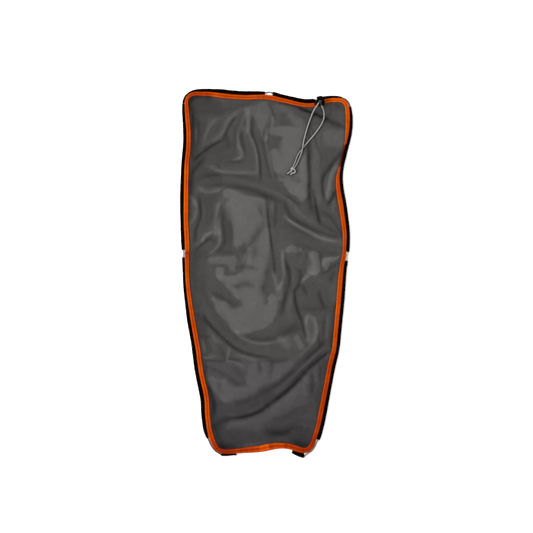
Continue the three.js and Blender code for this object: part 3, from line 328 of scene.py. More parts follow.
    (9, -180, 11, -194, 7, -212, 5.5, -1, -0.5), (-14, -178, -13, -190, -12, -205, 3.5, -1, -0.5),
    (-142, 325, -141, 290, -143, 240, 5, -1, -0.4), (-129, 326, -126, 305, -128, 285, 5, -1, -0.35),
    (-84, 284, -80, 274, -76, 264, 5, -1.5, -0.6), (-62, 303, -63, 278, -64, 255, 4, -2, -0.5),
    (-101, 225, -98, 220, -94, 216, 3, -1, -0.6), (-158, 336, -157, 353, -148, 361, 4.5, -1, -1.5),
    (-150, 362, -132, 363, -112, 361, 4, -1, -1.3), (-155, 197, -156, 176, -158, 150, 6, -1, -1.15),
    (-158, 150, -158.5, 130, -159, 110, 3.5, -1, -0.9), (-132, 184, -110, 180, -84, 181, 4, -1, -0.4),
    (-118, 70, -109, 68, -102, 60, 5, -1, -0.35), (-49, 20, -42, 36, -29, 60, 3.2, 1, 0.5),
    (-14, 142, -12, 132, -9, 121, 6, -0.5, -0.5), (-12, 160, 9, 155, 35, 145, 5, -1.5, -0.5),
    (39, 154, 58, 138, 70, 122, 6, 1, 0.35), (68, 124, 84, 112, 106, 101, 5, 1, 0.35),
    (96, 173, 98, 160, 100, 150, 2.8, -1.5, -0.8), (140, 152, 137, 138, 136, 124, 4, 1, 0.3),
    (-108, 23, -89, 17, -70, 3, 4, -1, -0.12), (-69, -1, -64, 6, -58, 13, 4, -1, -0.05),
    (-128, -24, -122, -52, -102, -84, 5.5, -1, -0.35), (-142, -38, -140, -52, -136, -68, 5, 0.5, 0.25),
    (86, -4, 78, -11, 70, -20, 3.5, 1, 0.7), (48, -50, 48, -76, 50, -106, 7, 1, 0.25),
    (66, -70, 100, -72, 137, -68, 7, -1, -0.4), (94, -98, 95, -112, 92, -124, 5, -1, -0.3),
    (40, -122, 56, -116, 70, -113, 6, -1, -0.35), (93, -204, 95, -222, 94, -244, 3.5, -1, -0.6),
    (24, -335, 44, -342, 62, -354, 2, 1, 0.3), (46, 202, 62, 195, 80, 184, 5, -1, -0.3),
    (-60, -167, -38, -173, -12, -182, 4, 1.5, 0.5), (-40, -278, -12, -267, 20, -247, 6, -1.5, -0.35),
    (20, 203, 29, 199, 38, 196, 5, -1, -0.45), (-66, -192, -56, -204, -46, -216, 6, -1, -0.35),
    (-97, -222, -96, -234, -93, -244, 5, -1, -0.45), (139, -62, 137, -95, 132, -148, 3.5, -1, -0.8),
])
print(f"{len(FOLDS['half'])} folds")
# %% [markdown]
# ## The panel's pale and dark areas
# Where the sheet lies flat on the floor it has painted light, and where it is slack, painted shade; where
# it is paler its holes also let a little more of the white floor through. Each area is a strip round a
# crease, with a half width at its start and its end, a soft rim and a tone.
# %% The panel's pale and dark areas
ZONES = table("x0 y0 x1 y1 x2 y2 half_start half_end soft tone", [
    (-24, 333, -3, 335, 35, 338, 15, 9, 12, 0.4), (-38, 336, -37.5, 315, -40, 297, 6, 6, 4, 0.75),
    (-53, 328, -54, 312, -57, 298, 5, 5, 5, -0.2), (15, 294, 44, 288, 68, 272, 10, 21, 7, 0.7),
    (50, 325, 65, 312, 78, 290, 8, 10, 8, 0.5), (46, 258, 55, 238, 66, 206, 22, 16, 9, 0.75),
    (15, 246, 24, 227, 39, 210, 11, 19, 7, 0.75), (47, 185, 60, 174, 73, 160, 13, 12, 5, 0.8),
    (74, 190, 76, 170, 76, 152, 7, 5, 4, 0.75), (77, 258, 77, 220, 76, 184, 6, 8, 5, 0.9),
    (123, 288, 138, 288, 154, 286, 9, 12, 8, 0.33), (128, 274, 140, 270, 152, 268, 11, 11, 8, 0.42),
    (-14, 325, -8, 305, -4, 275, 12, 7, 8, 0.6), (101, 290, 102, 230, 103, 150, 9, 8, 8, 0.34),
    (-57, 140, -36, 112, -26, 70, 26, 26, 9, 0.75), (-82, 163, -46, 153, -8, 138, 8, 14, 5, 0.7),
    (-3, 125, -4, 112, -6, 100, 7, 8, 6, 0.6), (-70, 130, -64, 90, -62, 62, 9, 8, 8, 0.75),
    (-8, 84, -13, 48, -24, 7, 16, 24, 10, 0.75), (-112, 28, -90, 26, -69, 26, 8, 9, 5, 0.55),
    (-97, 3, -80, -11, -54, -9, 7, 14, 5, 0.74), (-52, -6, -32, -10, -12, -10, 12, 14, 7, 0.7),
    (-79, -24, -66, -35, -54, -46, 5, 8, 5, 0.75), (-34, -30, -28, -46, -27, -68, 22, 21, 10, 0.7),
    (11, -50, 11, -68, 0, -90, 12, 13, 5, 0.7), (32, -18, 29, -36, 26, -52, 4, 7, 5, 0.5),
    (-94, -66, -78, -86, -58, -106, 9, 14, 6, 0.65), (-53, -84, -34, -94, -8, -87, 20, 24, 7, 0.65),
    (-55, -113, -47, -116, -39, -114, 11, 10, 5, 0.7), (-92, 150, -100, 118, -116, 92, 10, 5, 8, 0.3),
    (96, 36, 100, 20, 98, 5, 8.5, 12, 4, 0.7), (121, 25, 132, 30, 150, 38.5, 10.5, 1.6, 4, 0.8),
    (120, 26, 121, 16, 121, 8, 4.5, 4, 4, 0.7), (46, 51, 54, 52, 61, 51, 7, 7, 3, 0.75),
    (-28, -189, -28, -196, -27, -206, 9, 9, 5, 0.35), (-8, -190, 0, -190, 6, -190, 8, 9, 7, 0.3),
    (-30, -218, -10, -213, 18, -208, 12, 14, 8, 0.35), (25, -195, 35, -195, 48, -188, 11, 10, 8, 0.33),
    (-115, -212, -101, -229, -83, -249, 7, 14, 6, 0.42), (-90, -222, -74, -236, -48, -240, 6, 7, 5, 0.42),
    (-67, -244, -44, -244, -18, -229, 10, 8, 10, 0.35), (74, -222, 50, -252, 14, -282, 13, 9, 7, 0.24),
    (12, -284, -23, -300, -70, -312, 10, 8, 6, 0.06), (82, -216, 83, -230, 81, -245, 5, 6, 4, 0.42),
    (28, -136, 36, -141, 43, -144, 8, 7, 6, 0.4), (62, -133, 69, -140, 74, -151, 7, 6, 5, 0.45),
    (89, -95, 92, -113, 90, -134, 11, 10, 4, 0.48), (20, 60, 60, 10, 120, -50, 30, 30, 24, 0.12),
    (-149, 346, -131, 341, -100, 336, 18, 14, 14, -0.5), (-93, 336, -62, 341, -34, 346, 10, 8, 10, -0.27),
    (128, 345, 134, 339, 140, 332, 8, 8, 8, 0.1), (-157, 330, -156, 260, -158, 185, 5, 7, 8, -0.45),
    (-122, 252, -100, 255, -76, 262, 12, 8, 12, -0.3), (-146, 28, -141, -3, -149, -29, 22, 22, 16, -0.2),
    (-144, 43, -134, 41, -126, 38, 8, 8, 8, -0.3), (-146, -49, -142, -70, -138, -90, 14, 8, 12, -0.2),
    (82, -29, 105, -44, 125, -59, 22, 20, 14, -0.15), (54, 0, 53, -30, 52, -60, 2.5, 3, 4, 0.25),
    (-136, -90, -134, -118, -131, -160, 12, 9, 10, -0.45),
    (-88, -338, -23, -335, 66, -342, 18, 14, 16, -0.62), (2, -326, 34, -321, 62, -316, 14, 14, 14, -0.5),
    (94, -234, 95, -256, 90, -293, 11, 14, 12, -0.32), (88, -322, 84, -330, 78, -344, 10, 14, 14, -0.75),
    (-100, -321, -93, -336, -88, -352, 14, 14, 12, -0.6),
    (-105, -275, -98, -288, -88, -302, 10, 10, 8, -0.4),
    (-100, -270, -78, -280, -48, -282, 12, 10, 10, -0.42),
    (-54, -272, -23, -260, 2, -249, 14, 12, 12, -0.32), (-146, 226, -126, 208, -100, 195, 13, 12, 12, -0.3),
    (122, -180, 115, -220, 107, -290, 9, 9, 8, -0.55), (20, -301, 50, -292, 78, -276, 8, 11, 8, -0.48),
    (66, -318, 68, -328, 62, -338, 10, 12, 10, -0.75), (128, -60, 126, -100, 124, -150, 6, 8, 8, -0.15),
    (-145, 330, -143, 260, -145, 190, 12, 12, 14, -0.2),
    (-125, 232, -104, 236, -74, 235, 12, 12, 16, -0.22),
    (-141.5, -120, -135.5, -160, -129, -205, 4.5, 4.5, 5, -0.65),
    (-40, 339, -20, 344, 0, 348, 5, 6, 5, 0.45), (12, 318, 14, 305, 16, 290, 4, 5, 4, 0.6),
    (-128, 155, -115, 130, -124, 96, 12, 12, 8, -0.25), (-101, 112, -103, 98, -101, 84, 4, 9, 5, 0.6),
    (-110, 85, -120, 78, -132, 64, 5, 2, 4, 0.45), (-61, 100, -60, 78, -59, 60, 9, 7, 5, 0.75),
    (141, 218, 134, 192, 126, 158, 6, 5, 4, 0.5), (-112, -50, -102, -63, -91, -76, 4, 8, 4, 0.65),
    (0, -312, 25, -306, 52, -298, 7, 8, 7, -0.35), (-102, -318, -100, -336, -94, -348, 6, 9, 8, -0.9),
    (-153, 158, -150, 149, -147, 141, 4, 4, 4, 0.45), (-118, 158, -107, 155, -99, 150, 8, 8, 6, -0.3),
    (-52, 94, -53, 77, -58, 53, 10, 2, 4, 0.7), (-74, 22, -72, 16, -71, 11, 7, 4, 4, 0.55),
    (56, -302, 78, -304, 100, -307, 8, 9, 8, -0.43), (-84, -68, -74, -72, -62, -78, 5, 6, 4, 0.55),
])
print(f"{len(ZONES['tone'])} areas")
# %% [markdown]
# ## The shape of a fold
# A quadratic curve through a crease's three points is cut into short straight pieces and measured to every
# place at once. The fold is a bell of that distance. Only the places near a crease are worked out.
# %% The shape of a fold
BELL = {"power": 1.6, "reach": 3.2}


def crease_distance(row, x, y, pieces=16):
    """The distance of every place from one crease, and how far along the crease its nearest point is,
    from 0 to 1. The crease is a quadratic curve through three points, cut into straight pieces."""
    t = np.linspace(0, 1, pieces + 1)
    line = []
    for axis in "xy":
        a, b, c = (row[f"{axis}{n}"] for n in range(3))
        pull = 2 * b - (a + c) / 2
        line.append((1 - t) ** 2 * a + 2 * t * (1 - t) * pull + t**2 * c)
    along_x, along_y = np.diff(line[0]), np.diff(line[1])
    from_x, from_y = x[:, None] - line[0][:-1], y[:, None] - line[1][:-1]
    part = np.clip((from_x * along_x + from_y * along_y) / (along_x**2 + along_y**2), 0, 1)
    far = np.hypot(from_x - part * along_x, from_y - part * along_y)
    nearest = np.argmin(far, axis=1)
    pick = np.arange(len(nearest))
    return far[pick, nearest], (nearest + part[pick, nearest]) / len(along_x)


def rows_near(columns, x, y, reach):
    """Each row of a table, with a mask of the places inside its points' box, grown by its reach."""
    for k in range(len(columns["x0"])):
        row = {name: column[k] for name, column in columns.items()}
        box = reach(row)
        ends_x, ends_y = (sorted(row[f"{axis}{n}"] for n in range(3)) for axis in "xy")
        close = (x > ends_x[0] - box) & (x < ends_x[2] + box) & (y > ends_y[0] - box) & (y < ends_y[2] + box)
        if close.any():
            yield row, close


def folds_at(x, y):
    """The height is the sum over the folds of their rise, less the sag, and the tone is the sum of their
    tones. Each counts times a bell of the distance to its crease, half as strong at the crease's ends."""
    height, tone = np.full(x.shape, -MESH["sag"]), np.zeros(x.shape)
    for row, close in rows_near(FOLDS, x, y, lambda row: BELL["reach"] * row["half"]):
        far, at = crease_distance(row, x[close], y[close])
        bell = np.exp(-((far / row["half"]) ** BELL["power"]))
        bell *= 0.5 + 0.5 * smooth(4 * np.minimum(at, 1 - at))
        height[close] += row["rise"] * bell
        tone[close] += row["tone"] * bell
    return height, tone


print(f"sag and folds move the middle of the panel by {folds_at(np.zeros(1), np.zeros(1))[0][0]:.1f} mm")
# %% [markdown]
# ## The shape of an area
# An even strip looks drawn, so a place is shifted by slow waves before its distance is taken. The area's
# outline then wanders by as much.
# %% The shape of an area
UNEVEN = {"lengths": (23, 37, 61), "shift": 5.0, "seed_x": 1, "seed_y": 2}


def wobble(x, y, seed):
    """The mean of plane waves of the given lengths, with seeded ways and phases, from -1 to 1."""
    rng = np.random.default_rng(seed)
    lengths = UNEVEN["lengths"]
    ways = rng.uniform(0, TWO_PI, len(lengths))
    phases = rng.uniform(0, TWO_PI, len(lengths))
    total = np.zeros(np.shape(x))
    for way, length, phase in zip(ways, lengths, phases):
        total += np.sin((x * np.cos(way) + y * np.sin(way)) * TWO_PI / length + phase)
    return total / len(lengths)


def areas_at(x, y):
    """The palest plus the darkest area that covers each place, once the place is shifted by the waves. An
    area covers what is nearer to its crease than its half width, and fades over its soft rim."""
    wide_x = x + UNEVEN["shift"] * wobble(x, y, UNEVEN["seed_x"])
    wide_y = y + UNEVEN["shift"] * wobble(x, y, UNEVEN["seed_y"])
    pale, dark = np.zeros(x.shape), np.zeros(x.shape)
    spread = lambda row: row["half_start"] + row["half_end"] + row["soft"]
    for row, close in rows_near(ZONES, wide_x, wide_y, spread):
        far, at = crease_distance(row, wide_x[close], wide_y[close])
        half = row["half_start"] + (row["half_end"] - row["half_start"]) * at
        cover = row["tone"] * (1 - smooth((far - half + row["soft"] / 2) / row["soft"]))
        pale[close] = np.maximum(pale[close], cover)
        dark[close] = np.minimum(dark[close], cover)
    return pale, dark


print(f"the palest area covers the middle by {areas_at(np.zeros(1), np.zeros(1))[0][0]:.2f}")
# %% [markdown]
# ## The whole panel
# The folds die out where the tape grips the sheet, and the sheet is lifted where the tape climbs. Cords
# that lie on the panel read their height from the same function, so nothing sinks in or floats.
# %% The whole panel
INNER_EDGE = {"flat": 1.5, "grow": 14.0, "carried": 24.0, "hem": 1.0, "fade": 3.0}
INNER_SHADE = {"tone": 0.7, "width": 2.2}


def panel_at(x, y):
    """The height of the sheet's underside, and its tone. By the tape it lies flat; from there the folds
    grow to their full height, and where the tape is raised it carries the sheet with it for a way. A thin
    shade, a bell of the distance, lies along the tape."""
    x, y = np.asarray(x, float), np.asarray(y, float)
    height, tone = folds_at(x, y)
    pale, dark = areas_at(x, y)
    far, s = near_edge(x, y)
    inside = far - tape_side("inner", s)
    inwards = smooth((inside - INNER_EDGE["flat"]) / INNER_EDGE["grow"])
    carried = lift(s) * (1 - smooth(inside / INNER_EDGE["carried"]))
    floor = np.maximum(MESH["lowest"], MESH["edge"] + inwards * height) + carried
    shade = (tone + pale + dark) * smooth((inside + INNER_EDGE["hem"]) / INNER_EDGE["fade"])
    shade -= INNER_SHADE["tone"] * np.exp(-((np.maximum(inside, 0) / INNER_SHADE["width"]) ** 2))
    return floor, shade


def panel_top(x, y):
    """The height that a thing lying on the sheet rests at."""
    return panel_at(x, y)[0] + MESH["thickness"]


print(f"the middle of the sheet is {panel_top(np.zeros(1), np.zeros(1))[0]:.1f} mm high")
# %% [markdown]
# ## Making meshes
# A surface is a grid of points. A direction that closes joins its last row to its first, and the piece's
# own UV map counts on past the join, so a weave runs through it. Every closed piece is turned so that its
# volume is positive, which makes its faces point outwards.
# %% Grids
def grid_faces(rows, columns, close_columns=False):
    """Each face's four corners as row and column numbers, before they wrap round."""
    i, j = np.meshgrid(np.arange(rows - 1), np.arange(columns - (not close_columns)), indexing="ij")
    across = np.stack([i, i + 1, i + 1, i], axis=-1)
    round_it = np.stack([j, j, j + 1, j + 1], axis=-1)
    return across.reshape(-1, 4), round_it.reshape(-1, 4)


def grid_part(points, along, across, close_columns=False):
    """A part from a grid of points, with along and across as its UV place in mm."""
    rows, columns = points.shape[:2]
    i, j = grid_faces(rows, columns, close_columns=close_columns)
    u = np.broadcast_to(along, (rows, columns + close_columns))
    v = np.broadcast_to(across, (rows, columns + close_columns))
    faces = i * columns + j % columns
    return points.reshape(-1, 3), faces, np.stack([u[i, j], v[i, j]], axis=-1)


def signed_volume(points, faces):
    """A sixth of the sum over triangles of a corner dotted with the cross product of the other two."""
    total = 0.0
    for k in range(1, faces.shape[1] - 1):
        a, b, c = (points[faces[:, n]] for n in (0, k, k + 1))
        total += np.einsum("ij,ij->i", a, np.cross(b, c)).sum() / 6
    return total


print(f"a grid of 3 rows and 4 columns has {len(grid_faces(3, 4)[0])} faces")
# %% [markdown]
# A piece is one mesh object. Its points, corners, UV places and tones go in as whole arrays. Then it is
# told which body carries it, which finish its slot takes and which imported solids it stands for.
# %% A piece from its parts
def make_piece(name, parts, finish, body="cover", replaces=(), tone=None, shell=True):
    """One mesh object from parts, each a set of points in mm, quads, a place on the UV map for every
    corner and perhaps a tone for every point. It rides on its body and takes the finish of its slot."""
    points = np.vstack([part[0] for part in parts])
    if len(parts[0]) > 3:
        tone = np.concatenate([part[3] for part in parts])
    starts = np.cumsum([0] + [len(part[0]) for part in parts])
    faces = np.vstack([part[1] + start for part, start in zip(parts, starts)])
    uv = np.vstack([part[2] for part in parts])
    if shell and signed_volume(points - points.mean(axis=0), faces) < 0:
        faces, uv = faces[:, ::-1], uv[:, ::-1]
    mesh = bpy.data.meshes.new(name)
    mesh.vertices.add(len(points))
    mesh.vertices.foreach_set("co", (points * MM).astype(np.float32).ravel())
    mesh.loops.add(faces.size)
    mesh.loops.foreach_set("vertex_index", faces.astype(np.int32).ravel())
    mesh.polygons.add(len(faces))
    mesh.polygons.foreach_set("loop_start", np.arange(0, faces.size, 4, dtype=np.int32))
    mesh.polygons.foreach_set("use_smooth", np.ones(len(faces), dtype=bool))
    layer = mesh.uv_layers.new(name="cloth")
    layer.data.foreach_set("uv", (uv * MM).astype(np.float32).ravel())
    if tone is not None:
        attribute = mesh.attributes.new("tone", "FLOAT", "POINT")
        attribute.data.foreach_set("value", tone.astype(np.float32).ravel())
    mesh.update(calc_edges=True)
    mesh.validate()
    mesh.materials.append(finish)
    piece = bpy.data.objects.new(name, mesh)
    bpy.context.collection.objects.link(piece)
    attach(piece, body)
    if replaces:
        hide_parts(*replaces)
    print(f"{name}: {len(points)} points, {len(faces)} faces")
    return piece


# %% [markdown]
# Tapes and cords are profiles carried along a path. A tape's profile is a thin closed outline that changes
# on its way, and a cord's is a ring that stays square to its run.
# %% Strips and tubes
DOME = table("out size", [(1, 0.001), (0.5, 0.75), (0.13, 0.95)])
DOME_RISE = 0.35
SIDE_SHADE = {"tone": 3.2, "below": 0.75}


def thicken(line, wall):
    """A thin wall round an open line of u and z: the line moved half the wall to each side along its
    normal, as one closed outline."""
    run = np.gradient(line, axis=-2)
    run /= np.linalg.norm(run, axis=-1, keepdims=True)
    normal = np.stack([run[..., 1], -run[..., 0]], axis=-1)
    return np.concatenate([line + normal * wall / 2, (line - normal * wall / 2)[..., ::-1, :]], axis=-2)


def strip_part(s, line, wall):
    """A strip of tape carried along the edge: at every s its thin outline, closed, with both ends shut by
    quads across the wall."""
    outline = thicken(line, wall)
    points = at_edge(s[:, None], outline[..., 0], outline[..., 1])
    count = line.shape[1]
    step = np.linalg.norm(np.diff(outline[0], axis=0, append=outline[0][:1]), axis=1)
    across = np.concatenate([[0], np.cumsum(step)])
    flat, faces, uv = grid_part(points, s[:, None], across[None, :], close_columns=True)
    k = np.arange(count - 1)
    end = np.stack([k, k + 1, 2 * count - 2 - k, 2 * count - 1 - k], axis=1)
    last = end[:, ::-1] + (len(s) - 1) * 2 * count
    place = np.stack([np.full(end.shape, s[0]), across[end]], axis=-1)
    return flat, np.vstack([faces, end, last]), np.vstack([uv, place, place[:, ::-1]])


def tube_part(line, radius, aside, tone=0.0, sides=16):
    """Rings round a line: at each point a circle in the plane of two directions square to the run, the
    first of them the given side made square to it. The end rings close in a small dome. The tone is the
    given one along the line, with painted shade on the sides, where the surface falls away from the ring's
    highest point."""
    along = distances(line)
    run = np.gradient(line, axis=0)
    run /= np.linalg.norm(run, axis=1, keepdims=True)
    aside = np.broadcast_to(np.asarray(aside, float), line.shape)
    side = aside - run * np.einsum("ij,ij->i", aside, run)[:, None]
    side /= np.linalg.norm(side, axis=1, keepdims=True)
    up = np.cross(run, side)
    rise = radius * DOME_RISE * DOME["out"][:, None]
    centres = np.vstack([line[0] - run[0] * rise, line, line[-1] + run[-1] * rise[::-1]])
    sizes = np.concatenate([radius * DOME["size"], np.full(len(line), radius), radius * DOME["size"][::-1]])
    ends = len(DOME["out"])
    pad = lambda a: np.vstack([np.repeat(a[:1], ends, axis=0), a, np.repeat(a[-1:], ends, axis=0)])
    angle = np.arange(sides) * TWO_PI / sides
    ring = np.cos(angle)[None, :, None] * pad(side)[:, None] + np.sin(angle)[None, :, None] * pad(up)[:, None]
    points = centres[:, None] + sizes[:, None, None] * ring
    turn = np.arange(sides + 1) * TWO_PI * radius / sides
    below = ring[..., 2].max(axis=1, keepdims=True) - ring[..., 2]
    shade = pad(np.broadcast_to(tone, (len(line),))[:, None])
    # Painted shade on the cord's sides, where they fall away from its top.
    shade = shade - SIDE_SHADE["tone"] * smooth(below / SIDE_SHADE["below"])
    return *grid_part(points, pad(along[:, None]), turn[None, :], close_columns=True), shade.ravel()


trial = np.array([(0, 0, 0), (0, 1, 0), (0, 2, 0)], float)
print(f"2 mm of cord with its two domes has {len(tube_part(trial, CORD['radius'], (1, 0, 0))[1])} faces")
# %% [markdown]
# ## Shader maths
# A wire stands for one socket. Python's own signs add Math nodes to the material, so a pattern reads as a
# formula. Every other node comes from Finish.node.
# %% Wires
class Wire:
    """A value on its way through a material."""

    def __init__(self, finish, socket):
        self.finish, self.socket = finish, socket

    def math(self, operation, *values):
        """A Math node that does the named operation on the values."""
        return self.finish.node("ShaderNodeMath", {"operation": operation}, dict(enumerate(values)))

    def __add__(self, other):
        return self.math("ADD", self, other)

    def __radd__(self, other):
        return self.math("ADD", other, self)

    def __sub__(self, other):
        return self.math("SUBTRACT", self, other)

    def __rsub__(self, other):
        return self.math("SUBTRACT", other, self)

    def __mul__(self, other):
        return self.math("MULTIPLY", self, other)

    def __rmul__(self, other):
        return self.math("MULTIPLY", other, self)

    def __rpow__(self, other):
        return self.math("POWER", other, self)

    def sin(self):
        """The sine of the value, as an angle in radians."""
        return self.math("SINE", self)

    def size(self):
        """The value without its sign."""
        return self.math("ABSOLUTE", self)

    def step(self, low, high):
        """0 below low, 1 above high, smooth between them."""
        return self.finish.node("ShaderNodeMapRange", {"interpolation_type": "SMOOTHSTEP"},
                                {"Value": self, "From Min": low, "From Max": high})


# %% [markdown]
# A finish is one material. What stays constant is set on the Principled shader itself; what changes over
# the surface is wired to its colour, its roughness, its see-through or its bump.
# %% Finishes
class Finish:
    """A material being made, round one Principled shader whose constant sockets are set at the start."""

    def __init__(self, name, **constants):
        self.material = bpy.data.materials.new(name)
        self.material.use_nodes = True
        self.tree = self.material.node_tree
        self.shader = self.tree.nodes["Principled BSDF"]
        for socket, value in constants.items():
            self.shader.inputs[socket.replace("_", " ")].default_value = value

    def node(self, kind, settings=None, values=None, out=0):
        """A node of any kind, with its settings, then its sockets' values or wires."""
        made = self.tree.nodes.new(kind)
        for key, value in (settings or {}).items():
            setattr(made, key, value)
        for key, value in (values or {}).items():
            self.feed(made.inputs[key], value)
        return Wire(self, made.outputs[out])

    def feed(self, socket, value):
        """Link a wire to a socket, or set the socket's value."""
        if isinstance(value, Wire):
            self.tree.links.new(value.socket, socket)
        else:
            socket.default_value = value

    def set(self, **values):
        """Feed sockets of the Principled shader."""
        for socket, value in values.items():
            self.feed(self.shader.inputs[socket.replace("_", " ")], value)

    def cloth(self):
        """The piece's own UV map, in mm."""
        place = self.node("ShaderNodeUVMap", {"uv_map": "cloth"})
        split = self.node("ShaderNodeSeparateXYZ", values={0: place})
        other = Wire(self, split.socket.node.outputs[1])
        return split * 1000, other * 1000

    def tone(self):
        """The piece's own tone, as worked out for each of its points."""
        return self.node("ShaderNodeAttribute", {"attribute_name": "tone"}, out="Fac")

    def noise(self, size, detail=2.0):
        """Soft noise of about this size in mm, from 0 to 1, on the object's own coordinates."""
        place = self.node("ShaderNodeTexCoord", out="Object")
        values = {"Vector": place, "Scale": 1000 / size, "Detail": detail}
        return self.node("ShaderNodeTexNoise", values=values)

    def blend(self, factor, first, second):
        """The first colour turning into the second as the factor goes from 0 to 1."""
        return self.node("ShaderNodeMix", {"data_type": "RGBA"}, {0: factor, 6: first, 7: second}, out=2)

    def scaled(self, colour, factor):
        """A colour made brighter or darker by a factor."""
        return self.node("ShaderNodeVectorMath", {"operation": "SCALE"}, {0: colour, "Scale": factor})

    def relief(self, height, distance):
        """A bump: the wire's height, where 1 stands for the distance in mm."""
        self.set(Normal=self.node("ShaderNodeBump", values={"Distance": distance * MM, "Height": height}))


def waves(place, pitch):
    """The angle of a wave that repeats each pitch: the place times a full turn over the pitch, in mm."""
    return place * (TWO_PI / pitch)


# %% [markdown]
# ## The net's finish
# A knitted net is thin threads round small lozenge holes. The product of two waves across each other is
# high in lozenges in staggered rows, so a step on it makes the holes. They are smaller than the camera can
# tell apart, so a hole is only darker and a little sheer, more so where the cloth looks pale. The grey is
# a touch warmer towards the wide end.
# %% The net's finish
NET = {"along": 2.3, "across": 1.7, "hole": (0.1, 0.5), "darker": 0.25, "sheer": 0.11, "relief": 0.25}
MOTTLE = {"broad": 55, "broad_tone": 0.3, "fine": 8, "fine_tone": 0.45}
GREY = {"narrow_end": (0.0535, 0.0508, 0.0520, 1), "rest": (0.054, 0.052, 0.050, 1), "turn": (-0.21, -0.14)}


def mesh_finish():
    """Grey net. The holes sit where the product of two cosines is positive, in staggered rows. Its light is
    2 to the tone and two sizes of soft noise, less a quarter in a hole."""
    made = Finish("grey_mesh", Roughness=0.9, Specular_IOR_Level=0.02)
    along, across = made.cloth()
    quarter = np.pi / 2
    wave = (waves(along, NET["along"]) + quarter).sin() * (waves(across, NET["across"]) + quarter).sin()
    hole = wave.step(*NET["hole"])
    patch = made.noise(MOTTLE["broad"]) * MOTTLE["broad_tone"]
    patch = patch + made.noise(MOTTLE["fine"]) * MOTTLE["fine_tone"] - MOTTLE["fine_tone"] / 2
    # The tone is painted light and shade: folds, areas, and shade by the tape and the cords.
    light = 2 ** (made.tone() + patch)
    y = made.node("ShaderNodeSeparateXYZ", values={0: made.node("ShaderNodeTexCoord", out="Object")}, out=1)
    grey = made.blend(y.step(*GREY["turn"]), GREY["narrow_end"], GREY["rest"])
    made.set(Base_Color=made.scaled(grey, light * (1 - NET["darker"] * hole)))
    made.set(Alpha=1 - NET["sheer"] * hole * light)
    made.relief(wave.size(), NET["relief"])
    return made.material


MESH_FINISH = mesh_finish()
print("made", MESH_FINISH.name)
# %% [markdown]
# ## The orange tape's finish
# Binding tape is woven in fine ribs across its length. A sine wave along it is cheap and follows every
# bend, because it reads the tape's own map. Where the tone is low, in painted shade such as the sewn
# groove's, the orange turns to a deeper, shaded copy of itself.
# %% The orange tape's finish
ORANGE = {"shaded": (0.42, 0.027, 0.002, 1), "plain": (0.55, 0.078, 0.002, 1), "turn": (-0.8, 0.1)}
RIB = {"pitch": 0.9, "relief": 0.16}
TAPE_LIGHT = {"least": 0.82, "patch": 0.2, "fleck": 0.1, "rib": 0.05}
TAPE_NOISE = {"patch": 24, "fleck": 1.6}


def tape_finish():
    """Orange ribbed tape: its light is a sum of soft patches, flecks and ribs, times 2 to the tone."""
    made = Finish("orange_tape", Roughness=0.9, Specular_IOR_Level=0.0)
    along = made.cloth()[0]
    rib = waves(along, RIB["pitch"]).sin()
    fleck = made.noise(TAPE_NOISE["fleck"], 1.0)
    patch = made.noise(TAPE_NOISE["patch"])
    tone = made.tone()
    light = TAPE_LIGHT["least"] + TAPE_LIGHT["patch"] * patch + TAPE_LIGHT["fleck"] * fleck
    light = (light + TAPE_LIGHT["rib"] * rib) * 2 ** tone
    # Low tone is painted shade, and there the orange turns to its shaded copy.
    colour = made.blend(tone.step(*ORANGE["turn"]), ORANGE["shaded"], ORANGE["plain"])
    made.set(Base_Color=made.scaled(colour, light))
    made.relief(rib * 0.5 + fleck, RIB["relief"])
    return made.material


TAPE_FINISH = tape_finish()
print("made", TAPE_FINISH.name)
# %% [markdown]
# ## The black tape's finish
# The sleeves are plain-woven. Two crossed waves, multiplied, give a chequer of threads over and under.
# %% The black tape's finish
BLACK_WEAVE = {"pitch": 1.1, "relief": 0.2, "colour": (0.0030, 0.0016, 0.0011)}
BLACK_LIGHT = {"least": 0.6, "patch": 0.5, "patch_size": 14, "weave": 0.3}


def sleeve_finish():
    """Black plain-woven tape: a chequer of small over-and-under bumps, which add to a soft patch's light."""
    made = Finish("black_tape", Roughness=0.95, Specular_IOR_Level=0.0)
    along, across = made.cloth()
    weave = waves(along, BLACK_WEAVE["pitch"]).sin() * waves(across, BLACK_WEAVE["pitch"]).sin()
    patch = BLACK_LIGHT["patch"] * made.noise(BLACK_LIGHT["patch_size"])
    light = BLACK_LIGHT["least"] + patch + BLACK_LIGHT["weave"] * weave
    made.set(Base_Color=made.scaled(BLACK_WEAVE["colour"], light))
    made.relief(weave, BLACK_WEAVE["relief"])
    return made.material


SLEEVE_FINISH = sleeve_finish()
print("made", SLEEVE_FINISH.name)
# %% [markdown]
# ## The cord's finish
# A shock cord's cover is braided: strands wind round it both ways and cross. Each way is a wave of the
# angle round the cord plus or less the distance along it, and the higher of the two is the strand on top.
# %% The cord's finish
BRAID = {"strands": 8, "pitch": 2.2, "relief": 0.3, "colour": (0.435, 0.435, 0.42)}
BRAID_LIGHT = {"least": 0.5, "strand": 0.4, "turn": (-0.4, 0.9), "fleck": 0.4, "fleck_size": 2.4}


def braid_finish():
    """Grey braided cover: two families of strands wind round the cord in opposite senses and cross. The
    light is a sum of the strand on top and of flecks, times 2 to the tone."""
    made = Finish("grey_braid", Roughness=0.75, Specular_IOR_Level=0.2)
    along, around = made.cloth()
    turn = around * (BRAID["strands"] / CORD["radius"])
    pitch = waves(along, BRAID["pitch"])
    left, right = (turn + pitch).sin(), (turn - pitch).sin()
    strand = left.math("MAXIMUM", left, right)
    fleck = made.noise(BRAID_LIGHT["fleck_size"], 1.0)
    light = BRAID_LIGHT["least"] + BRAID_LIGHT["strand"] * strand.step(*BRAID_LIGHT["turn"])
    light = (light + BRAID_LIGHT["fleck"] * fleck) * 2 ** made.tone()
    made.set(Base_Color=made.scaled(BRAID["colour"], light))
    made.relief(strand, BRAID["relief"])
    return made.material


BRAID_FINISH = braid_finish()
print("made", BRAID_FINISH.name)
